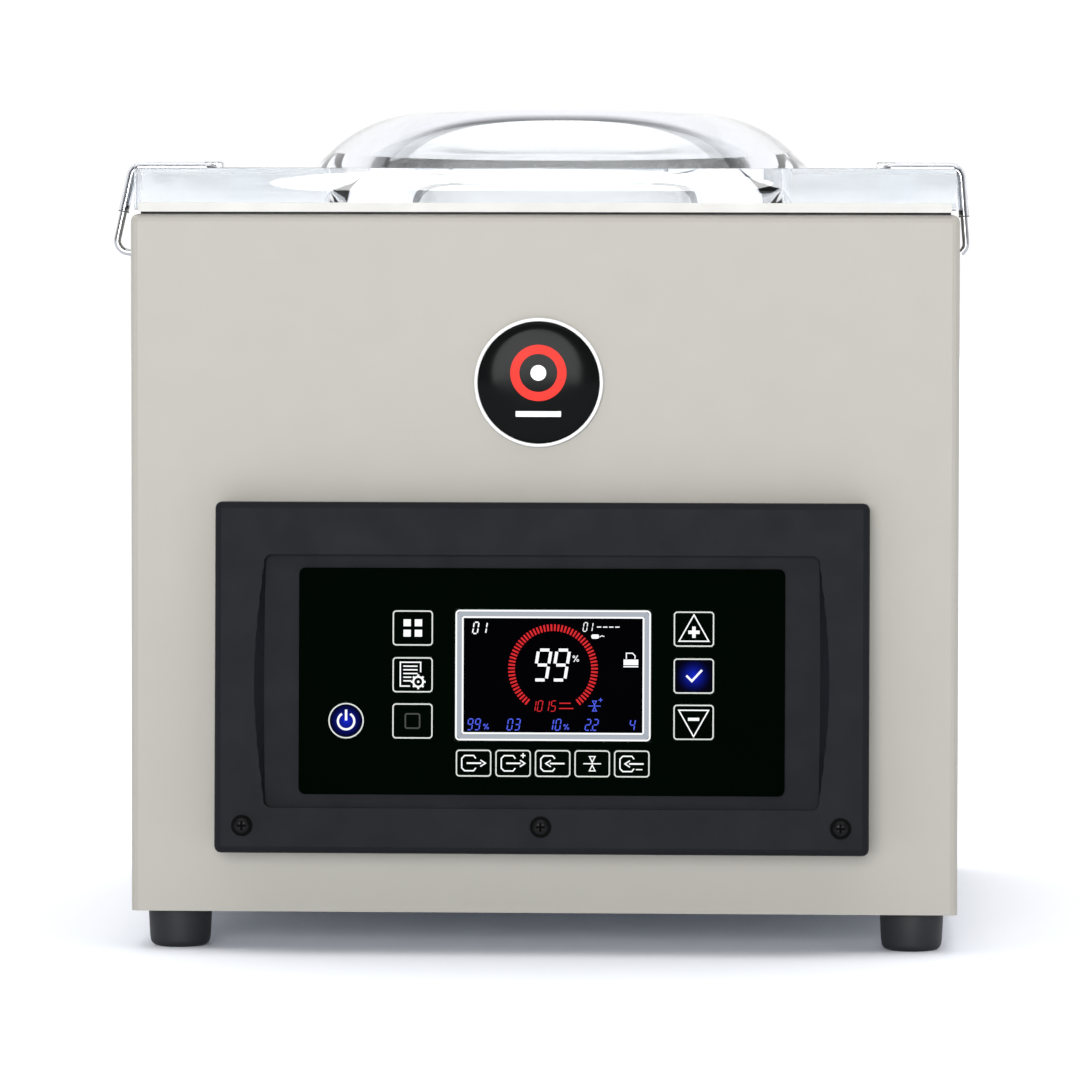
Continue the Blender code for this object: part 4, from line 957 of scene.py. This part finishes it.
def make_studio():
    """Pale floor, white surroundings and soft light from above and the front."""
    floor_shape = bmesh.new()
    bmesh.ops.create_grid(floor_shape, x_segments=1, y_segments=1, size=12.0)
    mesh = bpy.data.meshes.new("floor")
    floor_shape.to_mesh(mesh)
    floor_shape.free()
    floor = bpy.data.objects.new("floor", mesh)
    bpy.context.scene.collection.objects.link(floor)
    paint, shader = new_material("floor_white", (0.93, 0.93, 0.93), 0.9, specular=0.0)
    vary_colour(paint.node_tree, shader, noise(paint.node_tree, 3.0),
                (0.90, 0.92, 0.96), (0.91, 0.93, 0.97))
    shader.inputs["Emission Color"].default_value = (0.80, 0.88, 1.10, 1.0)
    shader.inputs["Emission Strength"].default_value = 0.027
    mesh.materials.append(paint)
    world = bpy.data.worlds.new("studio")
    bpy.context.scene.world = world
    world.use_nodes = True
    tree = world.node_tree
    background = tree.nodes["Background"]
    background.inputs["Color"].default_value = (1.0, 1.0, 1.0, 1.0)
    where = tree.nodes.new("ShaderNodeTexCoord")
    parts = tree.nodes.new("ShaderNodeSeparateXYZ")
    shade = tree.nodes.new("ShaderNodeMapRange")
    shade.interpolation_type = "SMOOTHSTEP"
    shade.inputs["From Min"].default_value = -0.60
    shade.inputs["From Max"].default_value = 0.35
    shade.inputs["To Min"].default_value = 0.22
    shade.inputs["To Max"].default_value = 1.03
    heights = tree.nodes.new("ShaderNodeValToRGB")
    stops = heights.color_ramp.elements
    stops[0].position, stops[0].color = 0.16, (1.0, 1.0, 1.0, 1.0)
    stops[1].position, stops[1].color = 0.96, (1.0, 1.0, 1.0, 1.0)
    for position, level in ((0.58, 1.0), (0.66, 0.22), (0.75, 0.22), (0.83, 1.0)):
        stops.new(position).color = (level, level, level * 1.04, 1.0)
    tree.links.new(where.outputs["Generated"], parts.inputs["Vector"])
    tree.links.new(parts.outputs["Y"], shade.inputs["Value"])
    tree.links.new(parts.outputs["Z"], heights.inputs["Fac"])
    tree.links.new(heights.outputs["Color"], background.inputs["Color"])
    tree.links.new(shade.outputs["Result"], background.inputs["Strength"])
    lamps = (("high_light", 2.3, 90, 0, 0), ("front_light", 3.0, 30, 84, -4))
    for name, energy, spread, tilt, turn in lamps:
        data = bpy.data.lights.new(name, "SUN")
        data.energy = energy
        data.angle = math.radians(spread)
        lamp = bpy.data.objects.new(name, data)
        lamp.rotation_euler = (math.radians(tilt), 0.0, math.radians(turn))
        bpy.context.scene.collection.objects.link(lamp)


def make_camera():
    """Level, distant view of the front, from slightly right of the middle."""
    data = bpy.data.cameras.new("camera")
    data.lens = 233.0
    data.sensor_width = 36.0
    data.clip_end = 50.0
    camera = bpy.data.objects.new("camera", data)
    heading, dip, roll = math.radians(2.688), math.radians(2.808), math.radians(0.08)
    turn = (Matrix.Rotation(heading, 4, "Z") @ Matrix.Rotation(math.radians(90.0) - dip, 4, "X")
            @ Matrix.Rotation(roll, 4, "Z"))
    camera.matrix_world = Matrix.Translation((0.15, FRONT - 3.23, 0.35)) @ turn
    bpy.context.scene.collection.objects.link(camera)
    bpy.context.scene.camera = camera


def main():
    bpy.context.scene.view_settings.view_transform = "Standard"
    paints = make_materials()
    make_camera()
    make_studio()
    repaint(paints)
    make_lid(paints)
    make_hooks(paints)
    make_display(paints)
    make_key_marks(paints)
    make_badge(paints)
    make_feet(paints)
    make_screws(paints)


main()
